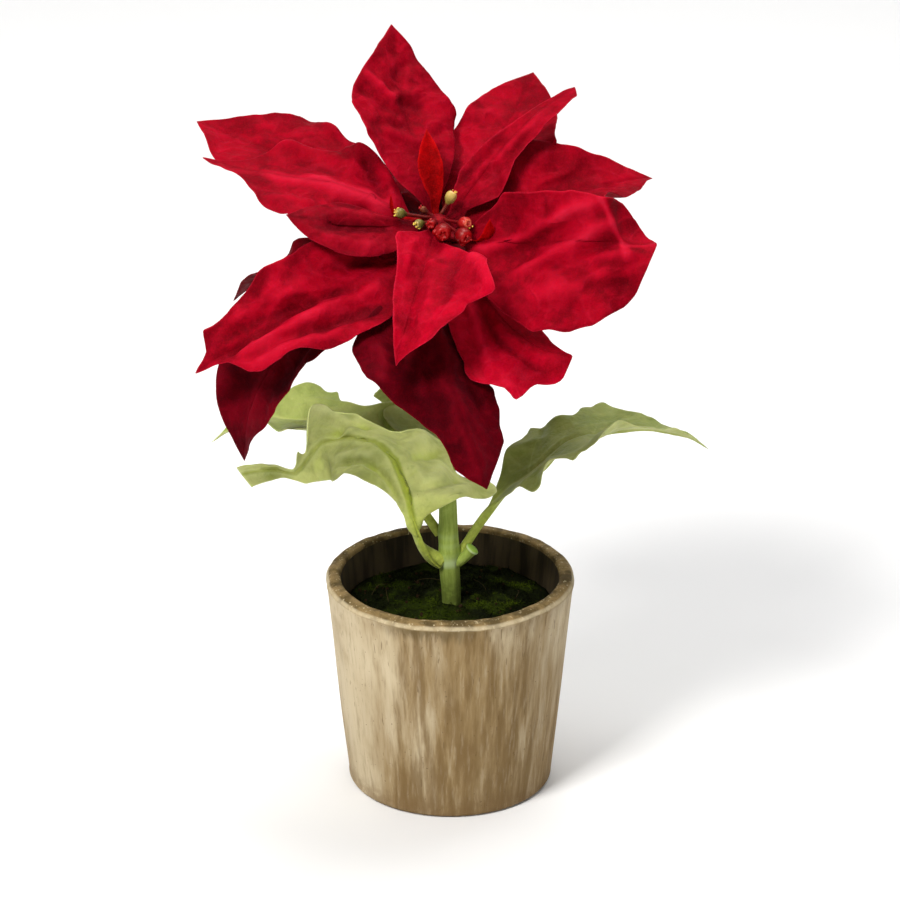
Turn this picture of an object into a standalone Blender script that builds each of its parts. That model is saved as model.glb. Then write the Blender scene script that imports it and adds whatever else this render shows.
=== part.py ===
"""A potted poinsettia: one stem with its bracts, small flowers and green leaves, in a round pot with soil and moss.

Metres, +Z up, -Y to the front. The origin is the middle of the pot's underside.
"""

import math

import bmesh
import bpy
import numpy as np

MM = 0.001

# Pot: a round taper with a chamfered lip.
POT_HEIGHT = 68 * MM
POT_RIM_RADIUS = 38 * MM
POT_BASE_RADIUS = 31.5 * MM
POT_WALL = 4.6 * MM
POT_FLOOR = 6 * MM
POT_SIDES = 44

# What fills it.
GAP = 0.35 * MM
SOIL_TOP = 51 * MM
MOSS_EDGE = 56.5 * MM
MOSS_CROWN = 60.0 * MM
STEM_SOCKET = 22 * MM  # how deep in the soil the stem's hole ends

# Stem: the points its middle passes through, each with its radius (mm).
STEM = [
    (1.2, -3.6, 23, 3.1),
    (0.9, -3.6, 45, 3.0),
    (0.4, -3.5, 62, 2.9),
    (-0.2, -3.3, 73, 3.1),
    (-0.6, -3.0, 90, 2.7),
    (-1.2, -2.5, 115, 2.5),
    (-2.4, -1.7, 145, 2.4),
    (-3.3, -1.1, 163, 2.5),
    (-3.5, -1.0, 168, 3.0),
    (-3.5, -1.0, 173, 3.1),
    (-3.5, -1.0, 177, 2.9),
    (-3.5, -1.0, 180.2, 2.3),
    (-3.5, -1.0, 182.5, 1.9),
    (-3.5, -1.0, 183.4, 1.2),
]
STUB = [(0.2, -3.4, 70, 1.7), (5.0, -4.2, 73.2, 1.6), (8.0, -4.6, 76.6, 1.9)]

# Flower head: bracts leave the stem round this point.
HEAD = (-3.5, -1.0, 180.0)
BRACT_THICK = 0.8
LEAF_THICK = 0.8
RINGS = 12  # sections along a blade
ACROSS = 5  # points across one face of it


def clear_scene():
    for obj in list(bpy.data.objects):
        bpy.data.objects.remove(obj, do_unlink=True)


def material(name, colour, roughness, metallic=0.0):
    mat = bpy.data.materials.new(name)
    mat.use_nodes = True
    shader = mat.node_tree.nodes["Principled BSDF"]
    shader.inputs["Base Color"].default_value = (*colour, 1)
    shader.inputs["Roughness"].default_value = roughness
    shader.inputs["Metallic"].default_value = metallic
    return mat


def add_object(name, bm, mat, sharp=35):
    bmesh.ops.recalc_face_normals(bm, faces=bm.faces)
    mesh = bpy.data.meshes.new(name)
    bm.to_mesh(mesh)
    bm.free()
    mesh.shade_smooth()
    mesh.set_sharp_from_angle(angle=math.radians(sharp))
    mesh.materials.append(mat)
    obj = bpy.data.objects.new(name, mesh)
    bpy.context.scene.collection.objects.link(obj)
    return obj


def loft(loops, close=False):
    """A closed body through loops of the same number of points; a loop of one point is a tip."""
    bm = bmesh.new()
    rows = [[bm.verts.new(p) for p in loop] for loop in loops]
    pairs = list(zip(rows, rows[1:]))
    if close:
        pairs.append((rows[-1], rows[0]))
    for a, b in pairs:
        n = max(len(a), len(b))
        for i in range(n):
            j = (i + 1) % n
            if len(a) == 1:
                bm.faces.new((a[0], b[i], b[j]))
            elif len(b) == 1:
                bm.faces.new((a[i], b[0], a[j]))
            else:
                bm.faces.new((a[i], b[i], b[j], a[j]))
    if not close:
        for row in (rows[0], rows[-1]):
            if len(row) > 2:
                bm.faces.new(row)
    return bm


def circle(cx, cy, z, r, sides, turn=0.0):
    return [
        (cx + r * math.cos(turn + 2 * math.pi * k / sides), cy + r * math.sin(turn + 2 * math.pi * k / sides), z)
        for k in range(sides)
    ]


def through(values, t):
    """The polynomial through values at equal steps, read at t from 0 to 1."""
    steps = np.linspace(0, 1, len(values))
    total = 0 * t
    for i, value in enumerate(values):
        weight = np.ones_like(t)
        for j, other in enumerate(steps):
            if j != i:
                weight = weight * (t - other) / (steps[i] - other)
        total = total + value * weight
    return total


def smooth(xs, ys, t):
    """A smooth curve through the points (xs, ys), read at t."""
    xs = np.asarray(xs, float)
    ys = np.asarray(ys, float)
    step = np.diff(xs)
    slope = np.diff(ys) / step
    m = np.empty(len(xs))
    m[0], m[-1] = slope[0], slope[-1]
    m[1:-1] = (slope[:-1] * step[1:] + slope[1:] * step[:-1]) / (step[1:] + step[:-1])
    i = np.clip(np.searchsorted(xs, t, side="right") - 1, 0, len(xs) - 2)
    u = (t - xs[i]) / step[i]
    return (
        ys[i] * (1 + 2 * u) * (1 - u) ** 2
        + ys[i + 1] * u * u * (3 - 2 * u)
        + step[i] * (m[i] * u * (1 - u) ** 2 - m[i + 1] * u * u * (1 - u))
    )


def frame_along(t, az, elev, roll, length, base):
    """Midrib points of a blade, with its side and upward directions."""
    a = np.radians(through(az, t))
    e = np.radians(through(elev, t))
    r = np.radians(through(roll, t))
    fine = np.linspace(0, 1, 241)
    fa, fe = np.radians(through(az, fine)), np.radians(through(elev, fine))
    run = np.stack([np.cos(fe) * np.cos(fa), np.cos(fe) * np.sin(fa), np.sin(fe)], -1)
    path = np.zeros((241, 3))
    path[1:] = np.cumsum((run[1:] + run[:-1]) / 2 * length / 240, axis=0)
    mid = np.stack([np.interp(t, fine, path[:, k]) for k in range(3)], -1) + np.asarray(base)
    ahead = np.stack([np.cos(e) * np.cos(a), np.cos(e) * np.sin(a), np.sin(e)], -1)
    flat = np.stack([-np.sin(a), np.cos(a), 0 * a], -1)
    top = np.cross(ahead, flat)
    side = np.cos(r)[:, None] * flat + np.sin(r)[:, None] * top
    up = -np.sin(r)[:, None] * flat + np.cos(r)[:, None] * top
    return mid, side, up


def arc(fold, curl, s):
    """Sideways and upward share of a half blade that leaves the midrib at fold and bends on by curl."""
    f, c = math.radians(fold), math.radians(curl)
    if abs(c) < 1e-4:
        c = 1e-4
    return (math.sin(f + c * s) - math.sin(f)) / c, (math.cos(f) - math.cos(f + c * s)) / c


def blade(az, elev, roll, length, base, stations, left, right, fold, curl, stalk, thick):
    """A thin closed blade as a loft of lens-shaped sections, from its stalk to its pointed tip. Millimetres and degrees."""
    t = np.concatenate([[0, 0.05], np.linspace(0.14, 0.985, RINGS - 2)])
    if len(stations) > 10:
        t = np.unique(np.concatenate([[0, 0.09], stations[1:-1], [0.985]]))
    mid, side, up = frame_along(t, az, elev, roll, length, base)
    wl = np.maximum(smooth(stations, [stalk, *left, 0], t), 0.25)
    wr = np.maximum(smooth(stations, [stalk, *right, 0], t), 0.25)
    shares = np.linspace(-1, 1, ACROSS)
    loops = []
    for k in range(len(t)):
        upper, lower = [], []
        for s in shares:
            h = 0 if s >= 0 else 1
            x, z = arc(fold[h], curl[h], abs(s))
            w = wl[k] if h == 0 else wr[k]
            point = mid[k] + side[k] * x * w * (1 if h == 0 else -1) + up[k] * z * w
            half = thick / 2 * (1 - 0.35 * s * s)
            if w < 3.0:
                half = max(half, min(0.75, stalk * 0.7) * (1 - 0.5 * abs(s)) * (1 - t[k]))
            upper.append(point + up[k] * half)
            lower.append(point - up[k] * half)
        loops.append([tuple(p * MM) for p in upper + lower[::-1]])
    end, _, _ = frame_along(np.array([1.0]), az, elev, roll, length, base)
    loops.append([tuple(end[0] * MM)])
    return loft(loops)


def tube(points, sides):
    """A round rod through points with a radius each, as a loft of rings square to its path."""
    path = np.array([p[:3] for p in points], float)
    radii = [p[3] for p in points]
    ahead = np.gradient(path, axis=0)
    ahead /= np.linalg.norm(ahead, axis=1, keepdims=True)
    ref = np.array([0.0, 1.0, 0.0])
    loops = []
    for p, d, r in zip(path, ahead, radii):
        u = np.cross(ref, d)
        u /= np.linalg.norm(u)
        v = np.cross(d, u)
        loops.append(
            [tuple((p + r * (math.cos(q) * u + math.sin(q) * v)) * MM) for q in np.arange(sides) * 2 * math.pi / sides]
        )
    return loft(loops)


# Bracts, from the inner ones at the top of the stem to the outer ones below them. Degrees and millimetres:
# name, azimuth (base, tip), rise (base, middle, tip), roll (base, tip), length, (distance from the stem's
# middle, height against HEAD), half-widths to the left and right at BRACT_AT, fold and curl of each half.
BRACT_AT = [0, 0.07, 0.2, 0.34, 0.48, 0.62, 0.76, 0.89, 1]
BRACTS = [
    ("bract_front_folded", [-97, -111], [-8, -23, -60], [-13, 8], 56.5, (3.2, 1.5), [1.0, 4.5, 16.0, 23.0, 22.5, 18.5, 6.5], [2.0, 7.0, 10.0, 6.5, 5.5, 2.5, 1.5], [12, 15], [13, 17]),
    ("bract_inner_upright", [101, 102], [70, 58, 45], [-1, 0], 26.5, (3.2, 2.5), [1.5, 2.5, 4.5, 6.0, 6.0, 5.0, 3.0], [1.0, 2.5, 4.0, 4.5, 5.0, 4.0, 2.0], [8, 9], [10, 11]),
    ("bract_left_small", [200, 187], [9, 9, 10], [-16, -17], 42.0, (3.2, 1.0), [2.0, 7.5, 12.0, 13.0, 13.0, 11.0, 6.5], [1.5, 4.0, 6.0, 8.0, 9.0, 8.0, 5.0], [-12, -3], [-7, 1]),
    ("bract_right_narrow", [43, 36], [41, 34, 19], [20, 12], 58.5, (3.3, 0.8), [1.5, 5.0, 7.5, 6.5, 5.0, 4.5, 1.0], [2.0, 6.5, 9.0, 7.5, 5.0, 5.0, 5.0], [6, 3], [7, 5]),
    ("bract_back_tall", [109, 101], [62, 36, 53], [1, 14], 68.5, (4.0, -1.5), [1.5, 7.5, 13.0, 17.5, 17.5, 13.0, 6.0], [2.0, 7.0, 11.5, 15.0, 17.0, 11.5, 6.5], [3, -7], [6, -3]),
    ("bract_left_folded", [164, 168], [35, 9, 17], [-35, 8], 71.0, (3.8, -2.0), [2.0, 8.5, 15.0, 19.5, 18.5, 16.0, 11.0], [1.0, 9.0, 18.0, 20.0, 17.5, 13.0, 2.5], [-1, 6], [4, 6]),
    ("bract_right_broad", [-43, -6], [3, 10, -3], [42, 52], 67.0, (3.8, -2.0), [2.0, 9.0, 15.5, 17.0, 17.0, 15.0, 11.0], [1.0, 9.0, 20.5, 26.5, 27.0, 25.5, 19.0], [19, -1], [19, 1]),
    ("bract_left_broad", [-135, -180], [-10, -20, -38], [-29, -18], 80.5, (3.9, -3.8), [1.0, 9.0, 17.5, 18.5, 17.0, 15.5, 4.5], [2.0, 9.0, 16.0, 18.0, 16.5, 13.0, 9.5], [-1, 12], [2, 13]),
    ("bract_front_right", [-65, -19], [-3, -34, 1], [-12, 25], 55.0, (3.9, -5.2), [2.0, 6.0, 10.0, 12.0, 10.5, 6.0, 1.0], [2.0, 7.0, 12.0, 15.5, 18.0, 19.5, 14.0], [0, -12], [3, -6]),
    ("bract_right_back", [17, 19], [37, 10, -2], [18, 2], 64.5, (4.0, -5.5), [2.0, 8.5, 15.0, 19.5, 17.5, 11.5, 7.0], [2.0, 8.5, 14.5, 18.5, 19.5, 16.5, 9.5], [21, 8], [17, 10]),
    ("bract_back_right", [59, 69], [37, 30, 23], [0, 2], 70.0, (4.0, -6.5), [2.0, 7.5, 12.5, 15.0, 14.5, 12.0, 8.5], [2.0, 7.5, 12.5, 16.0, 17.0, 14.5, 8.5], [3, 1], [6, 3]),
    ("bract_left_back", [149, 148], [28, 16, 7], [-2, -9], 84.0, (4.0, -6.0), [2.0, 8.5, 14.5, 18.5, 19.5, 16.5, 9.5], [2.0, 8.0, 14.0, 17.5, 19.0, 16.5, 8.0], [0, 8], [4, 10]),
    ("bract_front_low", [-101, -45], [-16, -37, -61], [-12, 6], 80.5, (4.0, -8.5), [2.0, 7.5, 12.0, 14.0, 14.0, 14.0, 10.0], [1.0, 9.0, 21.0, 26.5, 23.0, 9.0, 5.5], [-10, -6], [-4, -2]),
    ("bract_left_low", [-153, -153], [-8, -38, -84], [-10, -4], 84.5, (4.0, -9.5), [2.0, 7.5, 12.5, 16.0, 16.5, 13.0, 9.0], [2.0, 8.5, 14.5, 18.5, 20.0, 17.5, 10.0], [7, 17], [9, 17]),
    ("bract_back_low", [112, 116], [22, 6, -24], [0, 6], 68.0, (4.0, -9.5), [2.0, 7.5, 14.5, 17.0, 18.5, 14.5, 7.5], [2.0, 8.0, 13.0, 18.5, 17.0, 14.5, 8.0], [8, 6], [10, 8]),
    ("bract_back_right_low", [60, 52], [10, -14, -38], [0, -6], 66.0, (4.0, -11.0), [2.0, 8.0, 12.5, 17.5, 16.5, 14.5, 8.0], [2.0, 7.5, 14.5, 16.5, 18.0, 14.0, 7.0], [8, 8], [10, 12]),
    ("bract_back_left_low", [155, 160], [7, -18, -44], [-1, 4], 68.0, (4.0, -11.5), [2.0, 8.0, 13.0, 17.0, 17.0, 14.5, 8.0], [2.0, 7.5, 13.5, 18.0, 17.5, 15.0, 7.5], [7, 8], [9, 12]),
]

# Green leaves: name, azimuth, rise and roll at equal steps from the stem to the tip, length, base,
# half-widths at LEAF_AT (the first quarter is the stalk), fold and curl of each half.
LEAF_AT = [0, 0.18, 0.25, 0.33, 0.41, 0.5, 0.59, 0.68, 0.76, 0.84, 0.92, 1]
LEAVES = [
    ("leaf_front", [203, 228, 213, 210, 203], [37, 75, 45, -12, -34], [67, 52, 49, 87, 46], 96.5, (-3.9, -4.9, 74.5), [1.5, 13.0, 30.0, 18.0, 27.0, 12.5, 10.5, 15.0, 2.5, 5.5], [1.5, 2.5, 6.5, 11.0, 17.0, 14.0, 13.0, 12.0, 9.0, 2.0], [-20, -10], [-6, 0]),
    ("leaf_right", [18, 8, 12, 20], [58, 40, 5, -38], [6, 0, -8, -14], 92.0, (3.6, -2.2, 76.5), [1.4, 6.0, 14.0, 16.5, 14.0, 13.0, 17.5, 9.0, 6.5, 3.0], [1.4, 5.5, 13.0, 17.0, 15.0, 18.5, 12.0, 9.5, 6.0, 3.0], [10, 8], [12, 10]),
    ("leaf_back", [96, 102, 100, 92], [64, 38, 4, -34], [-4, 2, 8, 10], 90.0, (-0.6, 0.8, 80.0), [1.4, 5.5, 13.5, 16.0, 14.5, 18.0, 12.0, 9.5, 6.5, 3.0], [1.4, 6.0, 13.5, 17.0, 13.5, 13.0, 16.5, 9.0, 6.0, 3.0], [9, 9], [10, 12]),
    ("leaf_left", [158, 150, 156, 166], [52, 32, -4, -40], [10, 4, -4, -10], 88.0, (-4.0, -1.6, 83.0), [1.4, 6.0, 13.0, 16.5, 14.0, 17.5, 12.0, 9.5, 6.0, 3.0], [1.4, 5.0, 12.5, 16.0, 13.5, 12.5, 16.0, 9.0, 6.0, 3.0], [8, 10], [12, 10]),
]

# Small flowers: where each cup's middle is, its radius, colour.
STALK_RADIUS = 0.55
CYATHIA = [
    (0.3, 1.0, 189.0, 1.9, "yellow"),
    (-14.7, -4.0, 185.6, 1.6, "green"),
    (-9.1, -6.0, 183.0, 1.4, "green"),
    (-5.6, -9.0, 185.0, 1.5, "pink"),
    (2.4, -10.2, 186.3, 1.9, "orange"),
    (-0.3, -13.5, 183.8, 1.6, "red"),
    (6.0, -12.3, 182.0, 1.6, "red"),
    (-9.3, 1.0, 189.4, 1.6, "green"),
]
# Tiny spike bractlets: azimuth, rise, length, base, half-width.
SPIKES = [
    ([-15, -10], [18, 14, 24], 13.0, (0.6, -2.6, 183.6), 1.3),
    ([178, 176], [26, 20, 12], 12.5, (-6.2, 0.4, 184.2), 1.2),
]


def make_pot(mat):
    """A turned cup: underside, outer wall, chamfered lip, inner wall and floor."""
    inner_rim = POT_RIM_RADIUS - POT_WALL
    taper = (POT_RIM_RADIUS - POT_BASE_RADIUS) / POT_HEIGHT
    profile = [
        (POT_BASE_RADIUS - 1.2 * MM, 0),
        (POT_BASE_RADIUS, 1.2 * MM),
        (POT_BASE_RADIUS + taper * (POT_HEIGHT - 2.6 * MM), POT_HEIGHT - 2.6 * MM),
        (POT_RIM_RADIUS - 0.2 * MM, POT_HEIGHT - 2.0 * MM),
        (POT_RIM_RADIUS - 1.5 * MM, POT_HEIGHT),
        (inner_rim + 0.5 * MM, POT_HEIGHT),
        (inner_rim, POT_HEIGHT - 0.6 * MM),
        (inner_rim - taper * (POT_HEIGHT - POT_FLOOR) + 1.5 * MM, POT_FLOOR + 1.5 * MM),
        (inner_rim - taper * (POT_HEIGHT - POT_FLOOR), POT_FLOOR),
    ]
    loops = [circle(0, 0, z, r, POT_SIDES) for r, z in profile]
    return add_object("pot", loft(loops), mat, sharp=30)


def inner_radius(z):
    """The pot's inner wall at height z, less the gap."""
    taper = (POT_RIM_RADIUS - POT_BASE_RADIUS) / POT_HEIGHT
    return POT_RIM_RADIUS - POT_WALL - taper * (POT_HEIGHT - z) - GAP - 0.25 * MM


def stem_at(z):
    """The stem's middle and radius at height z."""
    zs = [p[2] * MM for p in STEM]
    return tuple(float(np.interp(z, zs, [p[k] * MM for p in STEM])) for k in (0, 1, 3))


def make_soil(mat):
    """The root ball: a plug of the pot's inside with a hole for the stem."""
    low = POT_FLOOR + 0.4 * MM
    hole = []
    for z in (SOIL_TOP, 38 * MM, STEM_SOCKET):
        x, y, r = stem_at(z)
        hole.append(circle(x, y, z, r + 0.8 * MM, 28))
    loops = [
        circle(0, 0, low, inner_radius(low) - 1.6 * MM, 28),
        circle(0, 0, low + 2 * MM, inner_radius(low + 2 * MM) - 0.4 * MM, 28),
        circle(0, 0, SOIL_TOP - 1.5 * MM, inner_radius(SOIL_TOP - 1.5 * MM) - 0.2 * MM, 28),
        circle(0, 0, SOIL_TOP, inner_radius(SOIL_TOP) - 1.2 * MM, 28),
        *hole,
    ]
    return add_object("soil", loft(loops), mat, sharp=40)


def make_moss(mat):
    """A tufted mat on the soil, higher round the stem, as a ring of rings."""
    sides = 32
    base = SOIL_TOP + GAP
    x0, y0, r0 = stem_at(base)
    r0 += 0.8 * MM
    outer = inner_radius(base) - 0.3 * MM
    loops = [circle(x0, y0, base, r0, sides), circle(0, 0, base, outer, sides)]
    for share in (1.0, 0.93, 0.8, 0.62, 0.42, 0.2, 0.0):
        ring = []
        for k in range(sides):
            a = 2 * math.pi * k / sides
            ro = inner_radius(MOSS_EDGE) - 0.3 * MM
            xo, yo = ro * math.cos(a), ro * math.sin(a)
            xi, yi = x0 + r0 * math.cos(a), y0 + r0 * math.sin(a)
            x, y = xi + (xo - xi) * share, yi + (yo - yi) * share
            mound = (1 - share ** 1.6) * (MOSS_CROWN - MOSS_EDGE)
            lump = 0.7 * MM * math.sin(3 * a + 5 * share) + 0.5 * MM * math.sin(7 * a - 9 * share)
            lump *= 0.2 if share in (0.0, 1.0) else 1
            ring.append((x, y, MOSS_EDGE + mound + lump))
        loops.append(ring)
    return add_object("moss", loft(loops, close=True), mat, sharp=60)


def make_stem(mat):
    stem = add_object("stem", tube(STEM, 12), mat, sharp=50)
    stub = add_object("stub_branch", tube(STUB, 8), mat, sharp=50)
    stub.hide_render = True
    stub.display_type = "WIRE"
    joined = stem.modifiers.new("stub", "BOOLEAN")
    joined.operation = "UNION"
    joined.object = stub
    return stem


def make_cyathium(name, x, y, z, r, mat):
    """A small cup on a thin stalk, turned about the line from the stem's top."""
    top = np.array([HEAD[0], HEAD[1], HEAD[2] + 3.2])
    cup = np.array([x, y, z])
    ahead = (cup - top) / np.linalg.norm(cup - top)
    reach = float(np.linalg.norm(cup - top))
    across = np.cross(ahead, [0.0, 0.0, 1.0])
    across /= np.linalg.norm(across)
    other = np.cross(ahead, across)
    begin = 2.7
    profile = [
        (begin, STALK_RADIUS * 0.6),
        (max(begin + 0.6, reach - 1.5 * r), STALK_RADIUS),
        (reach - 0.95 * r, 0.62 * r),
        (reach - 0.35 * r, 0.97 * r),
        (reach + 0.35 * r, 0.93 * r),
        (reach + 0.9 * r, 0.6 * r),
    ]
    sides = 10
    loops = []
    for along, radius in profile:
        loops.append([
            tuple((top + ahead * along + radius * (math.cos(q) * across + math.sin(q) * other)) * MM)
            for q in np.arange(sides) * 2 * math.pi / sides
        ])
    loops.append([tuple((top + ahead * (reach + 1.05 * r)) * MM)])
    return add_object(name, loft(loops), mat, sharp=60)


def main():
    clear_scene()
    pot = material("pot_glaze", (0.58, 0.49, 0.33), 0.75)
    soil = material("potting_soil", (0.06, 0.04, 0.03), 0.95)
    moss = material("moss", (0.05, 0.07, 0.02), 0.95)
    green = material("stem_green", (0.22, 0.33, 0.10), 0.6)
    leaf = material("leaf_green", (0.35, 0.43, 0.13), 0.65)
    red = material("bract_red", (0.60, 0.01, 0.035), 0.7)
    cups = {
        "green": material("cyathium_green", (0.16, 0.20, 0.03), 0.5),
        "yellow": material("cyathium_yellow", (0.55, 0.42, 0.08), 0.45),
        "orange": material("cyathium_orange", (0.65, 0.18, 0.04), 0.4),
        "pink": material("cyathium_pink", (0.50, 0.12, 0.12), 0.5),
        "red": material("cyathium_red", (0.55, 0.02, 0.02), 0.45),
    }

    make_pot(pot)
    make_soil(soil)
    make_moss(moss)
    make_stem(green)

    for name, az, rise, roll, length, base, left, right, fold, curl in LEAVES:
        bm = blade(az, rise, roll, length, base, LEAF_AT, left, right, fold, curl, 1.3, LEAF_THICK)
        add_object(name, bm, leaf, sharp=50)

    for name, az, rise, roll, length, (out, drop), left, right, fold, curl in BRACTS:
        a = math.radians(az[0])
        base = (HEAD[0] + out * math.cos(a), HEAD[1] + out * math.sin(a), HEAD[2] + drop)
        bm = blade(az, rise, roll, length, base, BRACT_AT, left, right, fold, curl, 1.0, BRACT_THICK)
        add_object(name, bm, red, sharp=50)

    for k, (x, y, z, r, tint) in enumerate(CYATHIA, 1):
        make_cyathium(f"cyathium_{k}", x, y, z, r, cups[tint])

    for k, (az, rise, length, base, half) in enumerate(SPIKES, 1):
        widths = [half * s for s in (0.6, 0.9, 1.0, 0.95, 0.8, 0.6, 0.35)]
        bm = blade(az, rise, [0, 0], length, base, BRACT_AT, widths, widths, [12, 12], [8, 8], 0.5, 0.6)
        add_object(f"spike_bractlet_{k}", bm, red, sharp=50)


main()
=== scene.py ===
"""A potted poinsettia, in detail: veined, crinkled bracts and leaves, small flowers, moss and a dry-brushed pot.

Metres, +Z up, -Y to the front. Shapes are worked out in millimetres, in the frame's own axes.
"""

import math

import bpy
import numpy as np
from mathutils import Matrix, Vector
from mathutils.bvhtree import BVHTree


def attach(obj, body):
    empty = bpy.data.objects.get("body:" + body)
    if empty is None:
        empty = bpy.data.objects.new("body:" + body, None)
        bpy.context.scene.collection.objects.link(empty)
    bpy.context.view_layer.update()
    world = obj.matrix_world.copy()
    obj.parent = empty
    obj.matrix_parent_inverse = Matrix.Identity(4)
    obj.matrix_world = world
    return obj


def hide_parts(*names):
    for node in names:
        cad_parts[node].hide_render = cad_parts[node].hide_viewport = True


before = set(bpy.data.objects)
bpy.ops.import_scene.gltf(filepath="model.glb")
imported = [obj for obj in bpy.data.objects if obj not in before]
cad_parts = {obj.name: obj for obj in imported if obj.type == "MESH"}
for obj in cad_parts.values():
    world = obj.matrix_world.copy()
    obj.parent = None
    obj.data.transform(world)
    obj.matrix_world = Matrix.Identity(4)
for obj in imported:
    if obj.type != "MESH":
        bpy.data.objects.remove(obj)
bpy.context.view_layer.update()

MM = 0.001
HEAD = np.array([-3.5, -1.0, 180.0])

# --------------------------------------------------------------------------- numbers


def lattice(ix, iy, iz, seed):
    """A repeatable value from -1 to 1 at each lattice point."""
    h = (ix * 374761393 + iy * 668265263 + iz * 1442695041 + seed * 974634777) & 0xFFFFFFFF
    h = ((h ^ (h >> 13)) * 1274126177) & 0xFFFFFFFF
    h = ((h ^ (h >> 15)) * 2246822519) & 0xFFFFFFFF
    return ((h ^ (h >> 16)) & 0xFFFF) / 32767.5 - 1.0


def noise(x, y, z=0.0, seed=1):
    """Smooth noise of about unit wavelength, from -1 to 1."""
    x, y, z = np.broadcast_arrays(np.asarray(x, float), y, z)
    fx, fy, fz = np.floor(x), np.floor(y), np.floor(z)
    ix, iy, iz = fx.astype(np.int64), fy.astype(np.int64), fz.astype(np.int64)
    u, v, w = x - fx, y - fy, z - fz
    u, v, w = (a * a * a * (a * (a * 6 - 15) + 10) for a in (u, v, w))
    total = 0.0
    for i in (0, 1):
        for j in (0, 1):
            for k in (0, 1):
                share = (u if i else 1 - u) * (v if j else 1 - v) * (w if k else 1 - w)
                total = total + share * lattice(ix + i, iy + j, iz + k, seed)
    return total


def layered(x, y, z=0.0, seed=1, octaves=3):
    total, size, step = 0.0, 0.0, 1.0
    for k in range(octaves):
        total = total + step * noise(np.asarray(x) * 2.03**k, np.asarray(y) * 2.03**k, np.asarray(z) * 2.03**k, seed + 17 * k)
        size += step
        step *= 0.5
    return total / size


def ease(a, b, x):
    x = np.clip((x - a) / (b - a), 0, 1)
    return x * x * (3 - 2 * x)


def through(values, t):
    """The polynomial through values at equal steps, read at t from 0 to 1."""
    steps = np.linspace(0, 1, len(values))
    total = 0 * t
    for i, value in enumerate(values):
        weight = np.ones_like(t)
        for j, other in enumerate(steps):
            if j != i:
                weight = weight * (t - other) / (steps[i] - other)
        total = total + value * weight
    return total


def smooth(xs, ys, t):
    """A smooth curve through the points (xs, ys), read at t."""
    xs = np.asarray(xs, float)
    ys = np.asarray(ys, float)
    step = np.diff(xs)
    slope = np.diff(ys) / step
    m = np.empty(len(xs))
    m[0], m[-1] = slope[0], slope[-1]
    m[1:-1] = (slope[:-1] * step[1:] + slope[1:] * step[:-1]) / (step[1:] + step[:-1])
    i = np.clip(np.searchsorted(xs, t, side="right") - 1, 0, len(xs) - 2)
    u = (t - xs[i]) / step[i]
    return (
        ys[i] * (1 + 2 * u) * (1 - u) ** 2
        + ys[i + 1] * u * u * (3 - 2 * u)
        + step[i] * (m[i] * u * (1 - u) ** 2 - m[i + 1] * u * u * (1 - u))
    )


def unit(v):
    return v / np.maximum(np.linalg.norm(v, axis=-1, keepdims=True), 1e-9)


# --------------------------------------------------------------------------- meshes


def mesh_object(name, points, quads, tris=(), attributes=None, material=None, slot=None, nodes=(), sharp=None):
    """A piece from points in millimetres. quads and tris are arrays of indices."""
    quads = np.asarray(quads, np.int32).reshape(-1, 4)
    tris = np.asarray(tris, np.int32).reshape(-1, 3)
    mesh = bpy.data.meshes.new(name)
    mesh.vertices.add(len(points))
    mesh.vertices.foreach_set("co", (np.asarray(points, np.float32) * MM).ravel())
    loops = np.concatenate([quads.ravel(), tris.ravel()])
    mesh.loops.add(len(loops))
    mesh.loops.foreach_set("vertex_index", loops)
    starts = np.concatenate([np.arange(len(quads)) * 4, len(quads) * 4 + np.arange(len(tris)) * 3])
    mesh.polygons.add(len(starts))
    mesh.polygons.foreach_set("loop_start", starts.astype(np.int32))
    mesh.update(calc_edges=True)
    mesh.validate()
    mesh.shade_smooth()
    if sharp is not None:
        mesh.set_sharp_from_angle(angle=math.radians(sharp))
    for key, values in (attributes or {}).items():
        layer = mesh.attributes.new(key, "FLOAT", "POINT")
        layer.data.foreach_set("value", np.asarray(values, np.float32).ravel())
    obj = bpy.data.objects.new(name, mesh)
    bpy.context.scene.collection.objects.link(obj)
    if material is not None:
        mesh.materials.append(material)
    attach(obj, "root")
    if nodes:
        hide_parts(*nodes)
    return obj


def grid_quads(rows, cols, first=0, closed=False, flip=False):
    r = np.arange(rows - 1)[:, None]
    c = np.arange(cols if closed else cols - 1)[None, :]
    n = (c + 1) % cols
    a, b, d, e = r * cols + c, r * cols + n, (r + 1) * cols + n, (r + 1) * cols + c
    faces = np.stack([a, e, d, b] if flip else [a, b, d, e], -1).reshape(-1, 4)
    return faces + first


def rod(path, radii, sides=10, ref=(0.0, 1.0, 0.0), first=0, cap=True, wobble=None):
    """A rod's points, quads and tris. Its ends are closed by a fan round a middle point."""
    path = np.asarray(path, float)
    radii = np.broadcast_to(np.asarray(radii, float), len(path))
    ahead = unit(np.gradient(path, axis=0))
    u = np.cross(np.asarray(ref, float), ahead)
    weak = np.linalg.norm(u, axis=1) < 0.15
    u[weak] = np.cross((1.0, 0.0, 0.0), ahead[weak])
    u = unit(u)
    v = np.cross(ahead, u)
    q = np.arange(sides) * 2 * math.pi / sides
    r = radii[:, None] * np.ones(sides)
    if wobble is not None:
        r = r + wobble
    ring = path[:, None] + r[..., None] * (np.cos(q)[None, :, None] * u[:, None] + np.sin(q)[None, :, None] * v[:, None])
    points = ring.reshape(-1, 3)
    n = len(path)
    quads = grid_quads(n, sides, first, closed=True, flip=False)
    points = np.concatenate([points, path[:1], path[-1:]])
    k = np.arange(sides)
    kn = (k + 1) % sides
    low = np.stack([np.full(sides, n * sides), kn, k], -1)
    high = np.stack([np.full(sides, n * sides + 1), (n - 1) * sides + k, (n - 1) * sides + kn], -1)
    return points, quads, np.concatenate([low, high]) + first


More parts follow.
